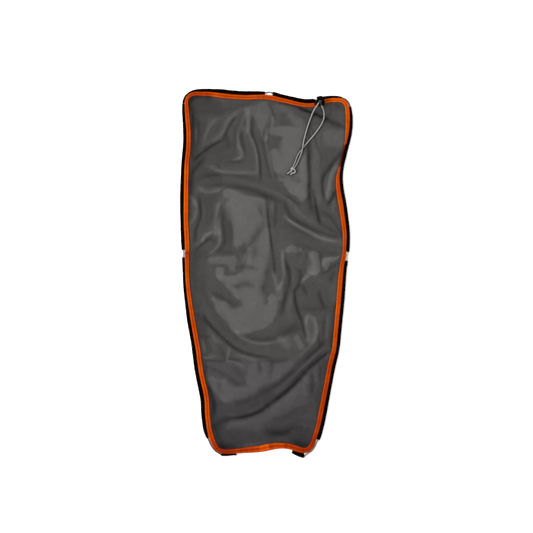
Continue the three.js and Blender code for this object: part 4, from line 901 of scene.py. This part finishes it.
# %% [markdown]
# ## The lock's and the thread's finish
# The lock is moulded nylon, whose fine grain is noise and which is smoother where fingers rub it. Sewing
# thread is two plies twisted together, a wave along it that leans as it goes round.
# %% The lock's and the thread's finish
NYLON = {"grain": 0.9, "relief": 0.06, "rubbed": 5, "colour": (0.0015, 0.0015, 0.0015)}
NYLON_LIGHT = {"least": 0.6, "rubbed": 0.9}
NYLON_ROUGH = {"most": 0.52, "rubbed": 0.16}
THREAD = {"twist": 0.5, "lean": 3, "relief": 0.05, "colour": (0.36, 0.03, 0.002)}
THREAD_LIGHT = {"middle": 0.85, "ply": 0.25}


def plastic_finish():
    """Black moulded nylon with a fine grain, a little paler and smoother where it is rubbed."""
    made = Finish("black_plastic", Specular_IOR_Level=0.01)
    grain = made.noise(NYLON["grain"], 3.0)
    rubbed = made.noise(NYLON["rubbed"])
    made.set(Base_Color=made.scaled(NYLON["colour"], NYLON_LIGHT["least"] + NYLON_LIGHT["rubbed"] * rubbed))
    made.set(Roughness=NYLON_ROUGH["most"] - NYLON_ROUGH["rubbed"] * rubbed)
    made.relief(grain, NYLON["relief"])
    return made.material


def thread_finish():
    """Sewing thread, redder than the tape: a wave of the place along it plus that round it is its twist."""
    made = Finish("red_thread", Roughness=0.7, Specular_IOR_Level=0.1)
    along, around = made.cloth()
    ply = (waves(along, THREAD["twist"]) + around * THREAD["lean"]).sin()
    light = THREAD_LIGHT["middle"] + THREAD_LIGHT["ply"] * ply
    made.set(Base_Color=made.scaled(THREAD["colour"], light))
    made.relief(ply, THREAD["relief"])
    return made.material


PLASTIC_FINISH, THREAD_FINISH = plastic_finish(), thread_finish()
print("made", PLASTIC_FINISH.name, "and", THREAD_FINISH.name)
# %% [markdown]
# ## The cord in the sleeves
# The shock cord is a 3 mm elastic core in a braided cover. Its two runs lie in the sleeves and show only
# in the gaps between them, so each is one tube on one smooth curve from its small sleeve to the lock. Most
# bare stretches have painted shade and two have painted light, as the picture shows them, and near the
# lock the cord has painted shadow.
# %% The cord in the sleeves
BARE = table("s u tone", [
    (93, 4.6, -0.9), (96, 2.2, -0.8), (101, 1.5, -0.8), (110, 1.6, -0.8), (122, 1.7, -0.8),
    (128, 2.2, -0.7), (513, 2, 0.6), (836, 0.4, -1.5), (1000, 5.9, -1.2), (1005, 4.6, -1.2),
    (1189.7, 1.7, -2.5), (1498, 2, 0.3), (1886, 0.8, -2.3), (1907, 0.4, -2.3), (1920, 0.6, -2.3),
])
LOCK = {"x": 110.2, "y": 352.4, "turn": np.radians(12), "s": 895.5}
# Painted shadow of the lock on the cord near it.
LOCK_SHADE = {"reach": 14, "tone": -3}
LOCK_ENTRY = table("u z d", [(3.9, 2.5, 8.4), (3.2, 4.2, 6.2), (1.8, 5.8, 4.4)])
SLOT_RISE = table("across out z", [
    (2.65, 1.6, 6.2), (1.95, 0.4, 7.0), (1.75, 0.02, 8.4), (1.75, 0, 11), (1.75, 0, 14.6),
])
# Where each run starts and ends along the edge, and the side of the slot that it rises on.
CORD_RUNS = {"cord_right": (78, 884, 1), "cord_left": (1940, 905, -1)}
RUN_POINTS = {"station": 4, "steps": 8, "spacing": 2.0}


def cord_distance(s):
    """The middle of the sleeve that holds the cord at s, or a straight line between the neighbouring
    sleeve ends and the bare cord's own places."""
    middle = np.full(s.shape, np.nan)
    knots_s, knots_u = list(BARE["s"]), list(BARE["u"])
    for row in SLEEVES.values():
        held = (s >= row[0]) & (s <= row[1])
        middle[held] = np.mean(reach_of(row, s[held]), axis=0)
        ends = np.array(row[:2], float)
        knots_s += list(ends)
        knots_u += list(np.mean(reach_of(row, ends), axis=0))
    order = np.argsort(knots_s)
    bare = np.interp(s, np.array(knots_s)[order], np.array(knots_u)[order])
    return np.where(np.isnan(middle), bare, middle)


def in_lock(across, out, z):
    """A place in the lock's own axes, turned about its middle."""
    c, d = np.cos(LOCK["turn"]), np.sin(LOCK["turn"])
    x = LOCK["x"] + across * c - out * d
    y = LOCK["y"] + across * d + out * c
    return np.stack([x, y, z], axis=-1)


def held_run(name, start, end, side):
    """One run of cord: a curve from its small sleeve along the edge to the lock, then up into the lock's
    slot. Its tone is the table's, or the lock's shade where the lock covers it."""
    s = np.linspace(start, end, int(abs(end - start) / RUN_POINTS["station"]))
    path = at_edge(s, cord_distance(s), CORD["height"])
    climb = at_edge(LOCK["s"] - side * LOCK_ENTRY["d"], LOCK_ENTRY["u"], LOCK_ENTRY["z"])
    rise = in_lock(SLOT_RISE["across"] * side, SLOT_RISE["out"], SLOT_RISE["z"])
    curve = curve_through(np.vstack([path, climb, rise]), steps=RUN_POINTS["steps"])
    line = resample(curve, RUN_POINTS["spacing"])
    beside = near_edge(line[:, 0], line[:, 1])[1]
    in_shade = np.abs(beside - LOCK["s"]) < LOCK_SHADE["reach"]
    tone = np.where(in_shade, LOCK_SHADE["tone"], np.interp(beside, BARE["s"], BARE["tone"]))
    part = tube_part(line, CORD["radius"], at_edge(beside, 1, 0) - at_edge(beside, 0, 0), tone)
    print(f"{name} is {distances(line)[-1]:.0f} mm long")
    return make_piece(f"{name}_braid", [part], BRAID_FINISH, replaces=[name])


for name, run in CORD_RUNS.items():
    held_run(name, *run)
# %% [markdown]
# ## The free strands and the knot
# At the lock both runs turn up through its slot, lie over its rim and down onto the panel, cross once, and
# end in one overhand knot. The strands are limp, so they follow the panel's folds: a row of a strand with
# no height of its own rests on the sheet. The knot is its two ends, two wraps and the two tails, as short
# tubes that press into each other as soft cord does.
# %% The free strands and the knot
STRAND_COLUMNS = "x y z lift"
STRANDS = {
    "strand_left": table(STRAND_COLUMNS, [
        (108.5, 352.0, 15.0, 0), (108.3, 351.7, 18.9, 0), (107.3, 349.9, 21.8, 0), (105.3, 346.5, 23.1, 0),
        (102.6, 342.4, 21.7, 0), (99.3, 338.0, 17.2, 0), (96.2, 332.4, 12.4, 0), (93.4, 326.2, 0, 1.6),
        (89.6, 316.2, 0, 0.3), (85.2, 304.0, 0, 0), (81.2, 290.6, 0, 0), (77.8, 277.8, 0, 0.6),
        (75.4, 266.6, 0, 2.2), (74.4, 259.0, 0, 3.6), (73.2, 253.2, 0, 3.6), (71.4, 246.8, 0, 2.2),
        (68.2, 238.2, 0, 0.6), (64.4, 229.4, 0, 0.3), (60.4, 221.4, 0, 1.0), (57.9, 217.9, 0, 1.4),
    ]),
    "strand_right": table(STRAND_COLUMNS, [
        (111.9, 352.8, 15.0, 0), (111.8, 352.4, 18.9, 0), (111.4, 350.4, 21.8, 0), (111.4, 346.8, 23.1, 0),
        (113.4, 341.6, 21.4, 0), (116.2, 335.4, 16.2, 0), (117.9, 328.0, 12.6, 0), (117.6, 318.6, 0, 1.2),
        (114.6, 309.6, 0, 0.3), (109.2, 300.2, 0, 0), (101.8, 289.6, 0, 0), (94.2, 280.2, 0, 0),
        (86.6, 271.4, 0, 0), (80.6, 264.4, 0, 0), (76.4, 259.2, 0, 0), (72.0, 253.4, 0, 0),
        (66.6, 247.0, 0, 0), (61.9, 237.4, 0, 0.2), (58.2, 227.2, 0, 0.7), (54.4, 218.8, 0, 1.2),
    ]),
}
KNOT = [
    table("x y lift", [(54.2, 218.0, 1.2), (53.0, 215.6, 1.4), (52.2, 211.4, 0.6), (48.0, 208.2, 0),
                       (42.7, 204.5, 0)]),
    table("x y lift", [(57.6, 217.2, 1.4), (56.2, 215.0, 1.2), (53.4, 212.4, 0.6)]),
    table("x y lift", [(50.0, 213.2, 0.4), (53.0, 214.8, 2.8), (56.7, 213.2, 3.2), (58.9, 209.8, 1.8),
                       (57.4, 206.4, 0.4), (53.7, 205.9, 0), (49.2, 202.5, 0)]),
    table("x y lift", [(50.6, 215.0, 0.4), (53.4, 217.0, 2.4), (56.2, 215.8, 1.4)]),
]
REST = {"feel": 3, "samples": 5, "highest": 12, "clear": 0.1}
KNOT_TUBE = {"spacing": 0.8, "aside": (0.3, 0.2, 1), "tone": 0.1}
# A strand has painted shadow for its own length inside the lock, and is a little darker below the crossing.
LENGTH_IN_LOCK = {"strand_left": 7.0, "strand_right": 13.5}
STRAND_TONE = {"in_lock": -4, "out_over": 2, "dull": 0.3, "dull_from": 264, "dull_over": 8}


def laid_line(rows, spacing=1.5):
    """A smooth line through the rows. A row with no height of its own lies on the mean of the sheet's
    highest places within a few millimetres, with its lift above that."""
    x, y, rise = rows["x"], rows["y"], rows["lift"]
    count = REST["samples"]
    spread = np.linspace(-REST["feel"], REST["feel"], count)
    near_x, near_y = x[:, None, None] + spread[None, :, None], y[:, None, None] + spread[None, None, :]
    shape = (len(x), count, count)
    top = panel_top(np.broadcast_to(near_x, shape), np.broadcast_to(near_y, shape)).reshape(len(x), -1)
    rest = np.mean(np.sort(top, axis=1)[:, -REST["highest"]:], axis=1) + CORD["radius"] + REST["clear"]
    z = rest + rise
    if "z" in rows:
        z = np.where(rows["z"] > 0, rows["z"], z)
    return resample(curve_through(np.stack([x, y, z], axis=1), steps=12), spacing)


knot_lines = [laid_line(rows, KNOT_TUBE["spacing"]) for rows in KNOT]
turns = [tube_part(line, CORD["radius"], KNOT_TUBE["aside"], KNOT_TUBE["tone"]) for line in knot_lines]
knot_piece = make_piece("knot_braid", turns, BRAID_FINISH, replaces=["knot"])
strand_lines = []
for name, rows in STRANDS.items():
    line = laid_line(rows)
    strand_lines.append(line)
    out = smooth((distances(line) - LENGTH_IN_LOCK[name]) / STRAND_TONE["out_over"])
    dull = smooth((STRAND_TONE["dull_from"] - line[:, 1]) / STRAND_TONE["dull_over"])
    shade = STRAND_TONE["in_lock"] * (1 - out) - STRAND_TONE["dull"] * dull
    part = tube_part(line, CORD["radius"], (1, 0.3, 0), shade)
    strand = make_piece(f"{name}_braid", [part], BRAID_FINISH, replaces=[name])
    length = distances(line)[-1]
    print(f"{name} is {length:.0f} mm long")
# %% [markdown]
# ## The mesh panel
# One cut of net, wider at one end. A patch between the four sides of the edge gives a grid whose rows run
# with the cloth; each point then gets its height from the folds. The cord lies close on the net, so a thin
# shade runs beside it, deepest in the slit between the strands. A live Solidify gives the thickness.
# %% The mesh panel
CORNERS = {"narrow_right": 113.0, "wide_right": 838.0, "wide_left": 1172.0, "narrow_left": 1903.0}
CELLS = {"across": 140, "up": 330}
UNDER_TAPE = {"inset": 4.0, "covered": 1.0}
NET_WALL = 0.8
CORD_SHADE = {"width": 2.7, "beside": 1.6, "slit": 5}


def beside_strands(x, y):
    """The shade round the free strands: a bell of the distance to the nearest of the strands and the knot,
    plus, for the slit, a stronger bell of the distance to the farther strand."""
    bells = []
    for line in (*strand_lines, np.vstack(knot_lines)):
        gaps = [np.hypot(row_x[:, None] - line[:, 0], row_y[:, None] - line[:, 1]).min(axis=1)
                for row_x, row_y in zip(x, y)]
        bells.append(np.exp(-((np.array(gaps) / CORD_SHADE["width"]) ** 2)))
    left, right, knot = bells
    nearest = np.maximum(np.maximum(left, right), knot)
    return CORD_SHADE["beside"] * nearest + CORD_SHADE["slit"] * np.minimum(left, right)


def panel_grid(inset):
    """A Coons patch: the blend of the left and right sides, plus that of the narrow and wide ends, less
    the blend of the four corners, with all of them moved in from the edge by the inset."""
    across, up = np.meshgrid(np.linspace(0, 1, CELLS["across"] + 1), np.linspace(0, 1, CELLS["up"] + 1))
    mix = lambda a, b, t: a + (b - a) * t
    c = CORNERS
    inside = lambda s: at_edge(s, -inset(s), 0)[..., :2]
    narrow = inside(mix(c["narrow_left"], c["narrow_right"] + EDGE_LENGTH, across))
    wide = inside(mix(c["wide_left"], c["wide_right"], across))
    left = inside(mix(c["narrow_left"], c["wide_left"], up))
    right = inside(mix(c["narrow_right"], c["wide_right"], up))
    corner = {name: inside(np.array(s)) for name, s in c.items()}
    i, j = across[..., None], up[..., None]
    corners = mix(mix(corner["narrow_left"], corner["narrow_right"], i),
                  mix(corner["wide_left"], corner["wide_right"], i), j)
    return mix(narrow, wide, j) + mix(left, right, i) - corners


flat = panel_grid(lambda s: np.minimum(UNDER_TAPE["inset"], tape_side("inner", s) - UNDER_TAPE["covered"]))
floor, tone = panel_at(flat[..., 0], flat[..., 1])
tone -= beside_strands(flat[..., 0], flat[..., 1])
points = np.concatenate([flat, floor[..., None] + MESH["thickness"] / 2], axis=-1)
panel = make_piece("mesh_cloth", [grid_part(points, flat[..., 0], flat[..., 1])], MESH_FINISH,
                   replaces=["mesh_panel"], tone=tone, shell=False)
thickness = panel.modifiers.new("thickness", "SOLIDIFY")
thickness.thickness = NET_WALL * MM
thickness.offset = 0
print(f"heights {floor.min():.1f} to {floor.max() + MESH['thickness']:.1f} mm")
# %% [markdown]
# ## The binding's section
# A ribbed tape folded over the raw edge. Its section is a lower leaf, a round fold and an upper leaf that
# swells on both sides of the row of stitches. A few slow waves keep the swell and the width from looking
# moulded.
# %% The binding's section
SWELL = {"height": 0.75, "width": 9, "most": 1.1, "power": 0.8, "uneven": 0.3}
WANDER = 0.35
# The lengths of each ripple's waves in mm, and its seed.
RIPPLES = {"swell": ((7.3, 11.9, 31), 3), "width": ((23, 41, 67), 5), "light": ((13, 37, 71, 163), 9),
           "sleeve": ((17, 29, 53), 11)}
LEAF_POINTS = {"lower": 5, "fold": 9, "upper": 15}


def ripple(s, lengths, seed):
    """A few sine waves of these lengths, with seeded phases, from -1 to 1."""
    phases = np.random.default_rng(seed).uniform(0, TWO_PI, len(lengths))
    return sum(np.sin(TWO_PI * s / length + phase) for length, phase in zip(lengths, phases)) / len(lengths)


def swell(s, part, width):
    """The upper leaf's height above flat: two humps, each half a sine wave to a power, with the sewn groove
    between them. A narrow tape swells less."""
    height = SWELL["height"] * np.clip(width / SWELL["width"], 0, SWELL["most"])
    height = height * (1 + SWELL["uneven"] * ripple(s, *RIPPLES["swell"]))
    return height * np.abs(np.sin(TWO_PI * part)) ** SWELL["power"]


def leaf_line(s, low, high, bottom=True):
    """The tape's middle line at every s, as u and z, from the lower leaf round the fold to the upper."""
    wall = TAPE["wall"]
    outer = tape_side("outer", s)[:, None]
    width = (tape_side("inner", s) + WANDER * ripple(s, *RIPPLES["width"]))[:, None] - outer
    fold = (high - low - wall)[:, None] / 2
    middle = (high + low)[:, None] / 2
    turn = np.linspace(-np.pi / 2, np.pi / 2, LEAF_POINTS["fold"])[None, :]
    start = fold + wall / 2
    t = np.linspace(0, 1, LEAF_POINTS["upper"])[None, :]
    upper_u = -start - t[:, 1:] * (width - start)
    upper_z = middle + fold + swell(s[:, None], t[:, 1:], width)
    if not bottom:
        return np.stack([upper_u - outer, upper_z], axis=-1)
    lower_u = -width + np.linspace(0, 1, LEAF_POINTS["lower"])[None, :-1] * (width - start)
    lower_z = middle - fold + 0 * lower_u
    return np.stack([np.concatenate([lower_u, -start + fold * np.cos(turn), upper_u], axis=1) - outer,
                     np.concatenate([lower_z, middle + fold * np.sin(turn), upper_z], axis=1)], axis=-1)


start = np.zeros(1)
section = leaf_line(start, start + TAPE["floor"], start + TAPE["top"])[0]
print(f"the tape's section has {len(section)} points and is {np.ptp(section[:, 0]):.1f} mm wide at s = 0")
# %% [markdown]
# ## The binding
# The section is carried along the edge, and the tape's end laps over its start at the narrow end. Its tone
# is painted light and shade along the edge, row by row, with painted shadow where the lock and a fold of
# net lie over it, and painted shade in the hollows across it and on its underside.
# %% The binding
# Painted light and shade along the edge; -2.2 is painted shadow under the net's bulge, -3.5 under the lock.
SHADE = table("s tone", [
    (0, 0.1), (20, 0.1), (21, -0.2), (48, -0.2), (52, -0.6), (56, -0.35), (100, -0.45), (130, -0.5),
    (145, -0.2), (200, -0.25), (290, -0.25), (320, 0), (460, 0.05), (520, -0.15), (580, 0), (694, 0.05),
    (706, -2.2), (734, -2.2), (746, 0.05), (850, 0.15), (880, 0), (889, 0), (892, -3.5), (904.5, -3.5),
    (907, -0.1), (960, -0.1), (1090, -0.15), (1110, -0.05), (1140, -0.3), (1190, -0.25), (1250, -0.15),
    (1300, -0.2), (1330, 0), (1490, 0), (1495, -0.2), (1497, -0.8), (1500, -0.3), (1560, -0.1), (1620, -0.1),
    (1690, -0.2), (1740, -0.1), (1860, -0.15), (1900, -0.45), (1930, -0.55), (1960, -0.35), (2002, -0.2),
    (2003, 0.1), (EDGE_LENGTH, 0.1),
])
# Painted shade: in the sewn groove, at the tape's inner rim and on its underside.
GROOVE = {"tone": 0.5, "at": 0.52, "width": 0.16}
INNER_RIM = {"tone": 0.4, "from": 0.86, "over": 0.14}
WORN = 0.12
UNDERSIDE = {"below": 2.2, "tone": -0.3}
STATIONS = {"round": 1100, "lap": 16}
LAP = {"before": 8, "climb": 1.1, "over": 7, "clear": 0.15, "wall": 0.7}


def tape_tone(s, line):
    """The sum of a bell of painted shade in the groove, painted shade at the inner rim, a ripple and the
    table's painted light and shade along the edge; on the underside, one plain tone of painted shade. The
    two faces of the wall have the same tone."""
    outer, inner = tape_side("outer", s)[:, None], tape_side("inner", s)[:, None]
    part = np.clip((-line[..., 0] - outer) / (inner - outer), 0, 1)
    tone = -GROOVE["tone"] * np.exp(-(((part - GROOVE["at"]) / GROOVE["width"]) ** 2))
    tone -= INNER_RIM["tone"] * smooth((part - INNER_RIM["from"]) / INNER_RIM["over"])
    tone += WORN * ripple(s, *RIPPLES["light"])[:, None]
    tone += np.interp(np.mod(s, EDGE_LENGTH), SHADE["s"], SHADE["tone"])[:, None]
    under = line[..., 1] < line[..., 1].max(axis=1, keepdims=True) - UNDERSIDE["below"]
    face = np.where(under, UNDERSIDE["tone"], tone)
    return np.concatenate([face, face[:, ::-1]], axis=1)


s = np.linspace(0, EDGE_LENGTH - GAP, STATIONS["round"])
line = leaf_line(s, TAPE["floor"] + lift(s), TAPE["top"] + lift(s))
lap_s = np.linspace(EDGE_LENGTH - LAP["before"], EDGE_LENGTH + TAPE["lap"], STATIONS["lap"])
climb = LAP["climb"] * smooth((lap_s - lap_s[0]) / LAP["over"])
lap_line = leaf_line(lap_s, TAPE["floor"] + climb, TAPE["top"] + climb, bottom=False)
lap_line[..., 1] += LAP["clear"]
tone = np.concatenate([tape_tone(s, line).ravel(), tape_tone(lap_s, lap_line).ravel()])
parts = [strip_part(s, line, TAPE["wall"]), strip_part(lap_s, lap_line, LAP["wall"])]
binding = make_piece("binding_tape", parts, TAPE_FINISH, replaces=["edge_binding"], tone=tone)
# %% [markdown]
# ## The stitches
# One row of lock stitches runs along the middle of the tape. Each stitch is a short capsule of thread that
# dips into the cloth at both ends; all of them are one array. Where the tape is all but hidden they are
# left out. One short bar of thread lies by the tape's outer side at the wide end's right corner.
# %% The stitches
STITCH = {"pitch": 3.5, "half": 1.35, "radius": 0.3, "rings": 7, "sides": 6, "aside": 0.8, "proud": 0.12,
          "dip": 0.3, "over_lap": 1.15, "ends": 2, "least_tape": 5}
TACK = {"start": 853.2, "end": 855.8, "inside": 0.9, "proud": 0.3, "radius": 0.8}


def stitch_part():
    """For every stitch a grid of rings: along it a radius that is the root of 1 less t to the fourth, and
    a circle round it."""
    rings, sides = STITCH["rings"], STITCH["sides"]
    start = np.arange(STITCH["ends"], EDGE_LENGTH - STITCH["ends"], STITCH["pitch"])
    start = start[tape_side("inner", start) > STITCH["least_tape"]]
    t = np.linspace(-1, 1, rings)[None, :, None]
    angle = np.arange(sides)[None, None, :] * TWO_PI / sides
    size = STITCH["radius"] * np.sqrt(np.clip(1 - t**4, 0.0001, 1))
    s = start[:, None, None] + STITCH["half"] * t
    outer, inner = tape_side("outer", s), tape_side("inner", s)
    u = -(outer + STITCH["aside"] + (inner - outer) / 2) + size * np.cos(angle)
    turn = np.mod(s, EDGE_LENGTH)
    over_lap = np.maximum(smooth((turn - EDGE_LENGTH + LAP["before"]) / LAP["over"]), turn < TAPE["lap"])
    cloth = TAPE["top"] + lift(s) + STITCH["over_lap"] * over_lap + STITCH["proud"]
    points = at_edge(s, u, cloth - STITCH["dip"] * t**2 + size * np.sin(angle))
    count = points.shape[0]
    i, j = grid_faces(rings, sides, close_columns=True)
    faces = (i * sides + j % sides)[None] + rings * sides * np.arange(count)[:, None, None]
    place = np.stack([s[:, :, 0][:, i], np.broadcast_to(j * STITCH["radius"], (count,) + j.shape)], axis=-1)
    return points.reshape(-1, 3), faces.reshape(-1, 4), place.reshape(-1, 4, 2)


def bar_tack():
    """A short tube of thread along the edge, close to the tape's outer side."""
    s = np.linspace(TACK["start"], TACK["end"], 5)
    line = at_edge(s, -TACK["inside"], TAPE["top"] + lift(s) + TACK["proud"])
    return tube_part(line, TACK["radius"], (0, 0, 1), sides=8)[:3]


stitches = make_piece("stitches", [stitch_part(), bar_tack()], THREAD_FINISH)
# %% [markdown]
# ## The sleeves
# Each is a black woven tape folded round the cord, with both its edges sewn under the binding as a flange.
# Its section is an open line, carried along the edge and given a wall. The ends are open, so the wall's
# thickness and the cord inside show.
# %% The sleeves
LOOP = {"gape": 165, "points": 21, "power": 0.75, "uneven": 0.03}
FLANGE = {"points": 4, "short_of_loop": 0.6, "sink": 0.1}
SLEEVE_STATIONS = {"fewest": 12, "spacing": 2.5}


def sleeve_line(row, s):
    """The sleeve's middle line as u and z: the lower leaf of the flange, a rounded loop round the cord, and
    the upper leaf back under the tape. The loop is an ellipse whose sine and cosine are taken to a power
    below 1, which makes it squarer."""
    near, far = (side[:, None] for side in reach_of(row, s))
    wall = SLEEVE["wall"]
    low = lift(s)[:, None] - FLANGE["sink"] * raised_at(s)[:, None] + wall / 2
    angle = np.radians(np.linspace(-LOOP["gape"], LOOP["gape"], LOOP["points"]))[None, :]
    half, tall = (far - near) / 2 - wall / 2, SLEEVE["height"] / 2 - wall / 2
    squarish = lambda v: np.sign(v) * np.abs(v) ** LOOP["power"]
    bulge = 1 + LOOP["uneven"] * ripple(s, *RIPPLES["sleeve"])[:, None]
    loop_u = (near + far) / 2 + half * squarish(np.cos(angle)) * bulge
    loop_z = SLEEVE["height"] / 2 + tall * squarish(np.sin(angle)) + 0 * loop_u
    tuck = np.linspace(0, 1, FLANGE["points"])[None, :-1]
    start = near - SLEEVE["flange"]
    lower_u = start + tuck * (near - FLANGE["short_of_loop"] - start)
    upper_u = lower_u[:, ::-1]
    lower_z = low + 0 * lower_u
    return np.stack([np.concatenate([lower_u, loop_u, upper_u], axis=1),
                     np.concatenate([lower_z, loop_z, lower_z + wall], axis=1)], axis=-1)


for name, row in SLEEVES.items():
    count = int((row[1] - row[0]) / SLEEVE_STATIONS["spacing"])
    s = np.linspace(row[0], row[1], max(SLEEVE_STATIONS["fewest"], count))
    part = strip_part(s, sleeve_line(row, s), SLEEVE["wall"])
    make_piece(f"{name}_tape", [part], SLEEVE_FINISH, replaces=[name])
# %% [markdown]
# ## The cord lock
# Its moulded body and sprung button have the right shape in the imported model, so they keep it and get a
# finish: black nylon.
# %% The cord lock
for name in ("lock_body", "lock_button"):
    node = bpy.data.objects[name]
    for place in node.material_slots:
        place.material = PLASTIC_FINISH
    print(f"{name} is {PLASTIC_FINISH.name}")
# %% [markdown]
# ## Cloth facts
# The panel is one cut of cloth that lies on the floor by its bound edge. Its flat size is the outline's,
# because folds as low as these take up next to nothing.
print(f"{panel.name} is declared, with {binding.name} and {stitches.name}")
# %% [markdown]
# ## Floor and light
# A pale floor, a bright even sky and a broad soft lamp from the left: the folds get their light sides
# there and their shadows on the right. The floor glows a little, so that it stays white in the picture.
# %% Floor and light
FLOOR = {"size": 6.0, "below": 0.0002, "white": 0.93, "glow": 0.3, "patch": 300}
SKY = 0.95
LAMP = {"place": (-2.2, 0.5, 1.9), "towards": (0, 0, 0), "size": 1.4, "power": 85}


def floor_finish():
    """White, with the faintest patches and a little light of its own."""
    made = Finish("pale_floor", Roughness=0.9, Specular_IOR_Level=0.0, Emission_Strength=FLOOR["glow"])
    made.set(Emission_Color=(1, 1, 1, 1))
    white = (FLOOR["white"],) * 3
    made.set(Base_Color=made.scaled(white, 0.99 + 0.02 * made.noise(FLOOR["patch"])))
    return made.material


def add_floor():
    """One square face, a hair below everything that lies on it."""
    half, z = FLOOR["size"] / 2, -FLOOR["below"]
    mesh = bpy.data.meshes.new("floor")
    corners = [(-half, -half, z), (half, -half, z), (half, half, z), (-half, half, z)]
    mesh.from_pydata(corners, [], [(0, 1, 2, 3)])
    mesh.materials.append(floor_finish())
    floor = bpy.data.objects.new("floor", mesh)
    bpy.context.collection.objects.link(floor)


def add_lamp(name, place, towards, size, power):
    """A square area lamp that faces a point."""
    lamp = bpy.data.lights.new(name, "AREA")
    lamp.size = size
    lamp.energy = power
    holder = bpy.data.objects.new(name, lamp)
    holder.location = place
    holder.rotation_euler = (Vector(towards) - Vector(place)).to_track_quat("-Z", "Y").to_euler()
    bpy.context.collection.objects.link(holder)


add_floor()
world = bpy.data.worlds.new("sky")
world.use_nodes = True
background = world.node_tree.nodes["Background"]
background.inputs["Color"].default_value = (1, 1, 1, 1)
background.inputs["Strength"].default_value = SKY
bpy.context.scene.world = world
add_lamp("left_lamp", **LAMP)
bpy.context.scene.view_settings.view_transform = "Standard"
print(f"a floor {FLOOR['size']} m wide and a lamp of {LAMP['power']} W")
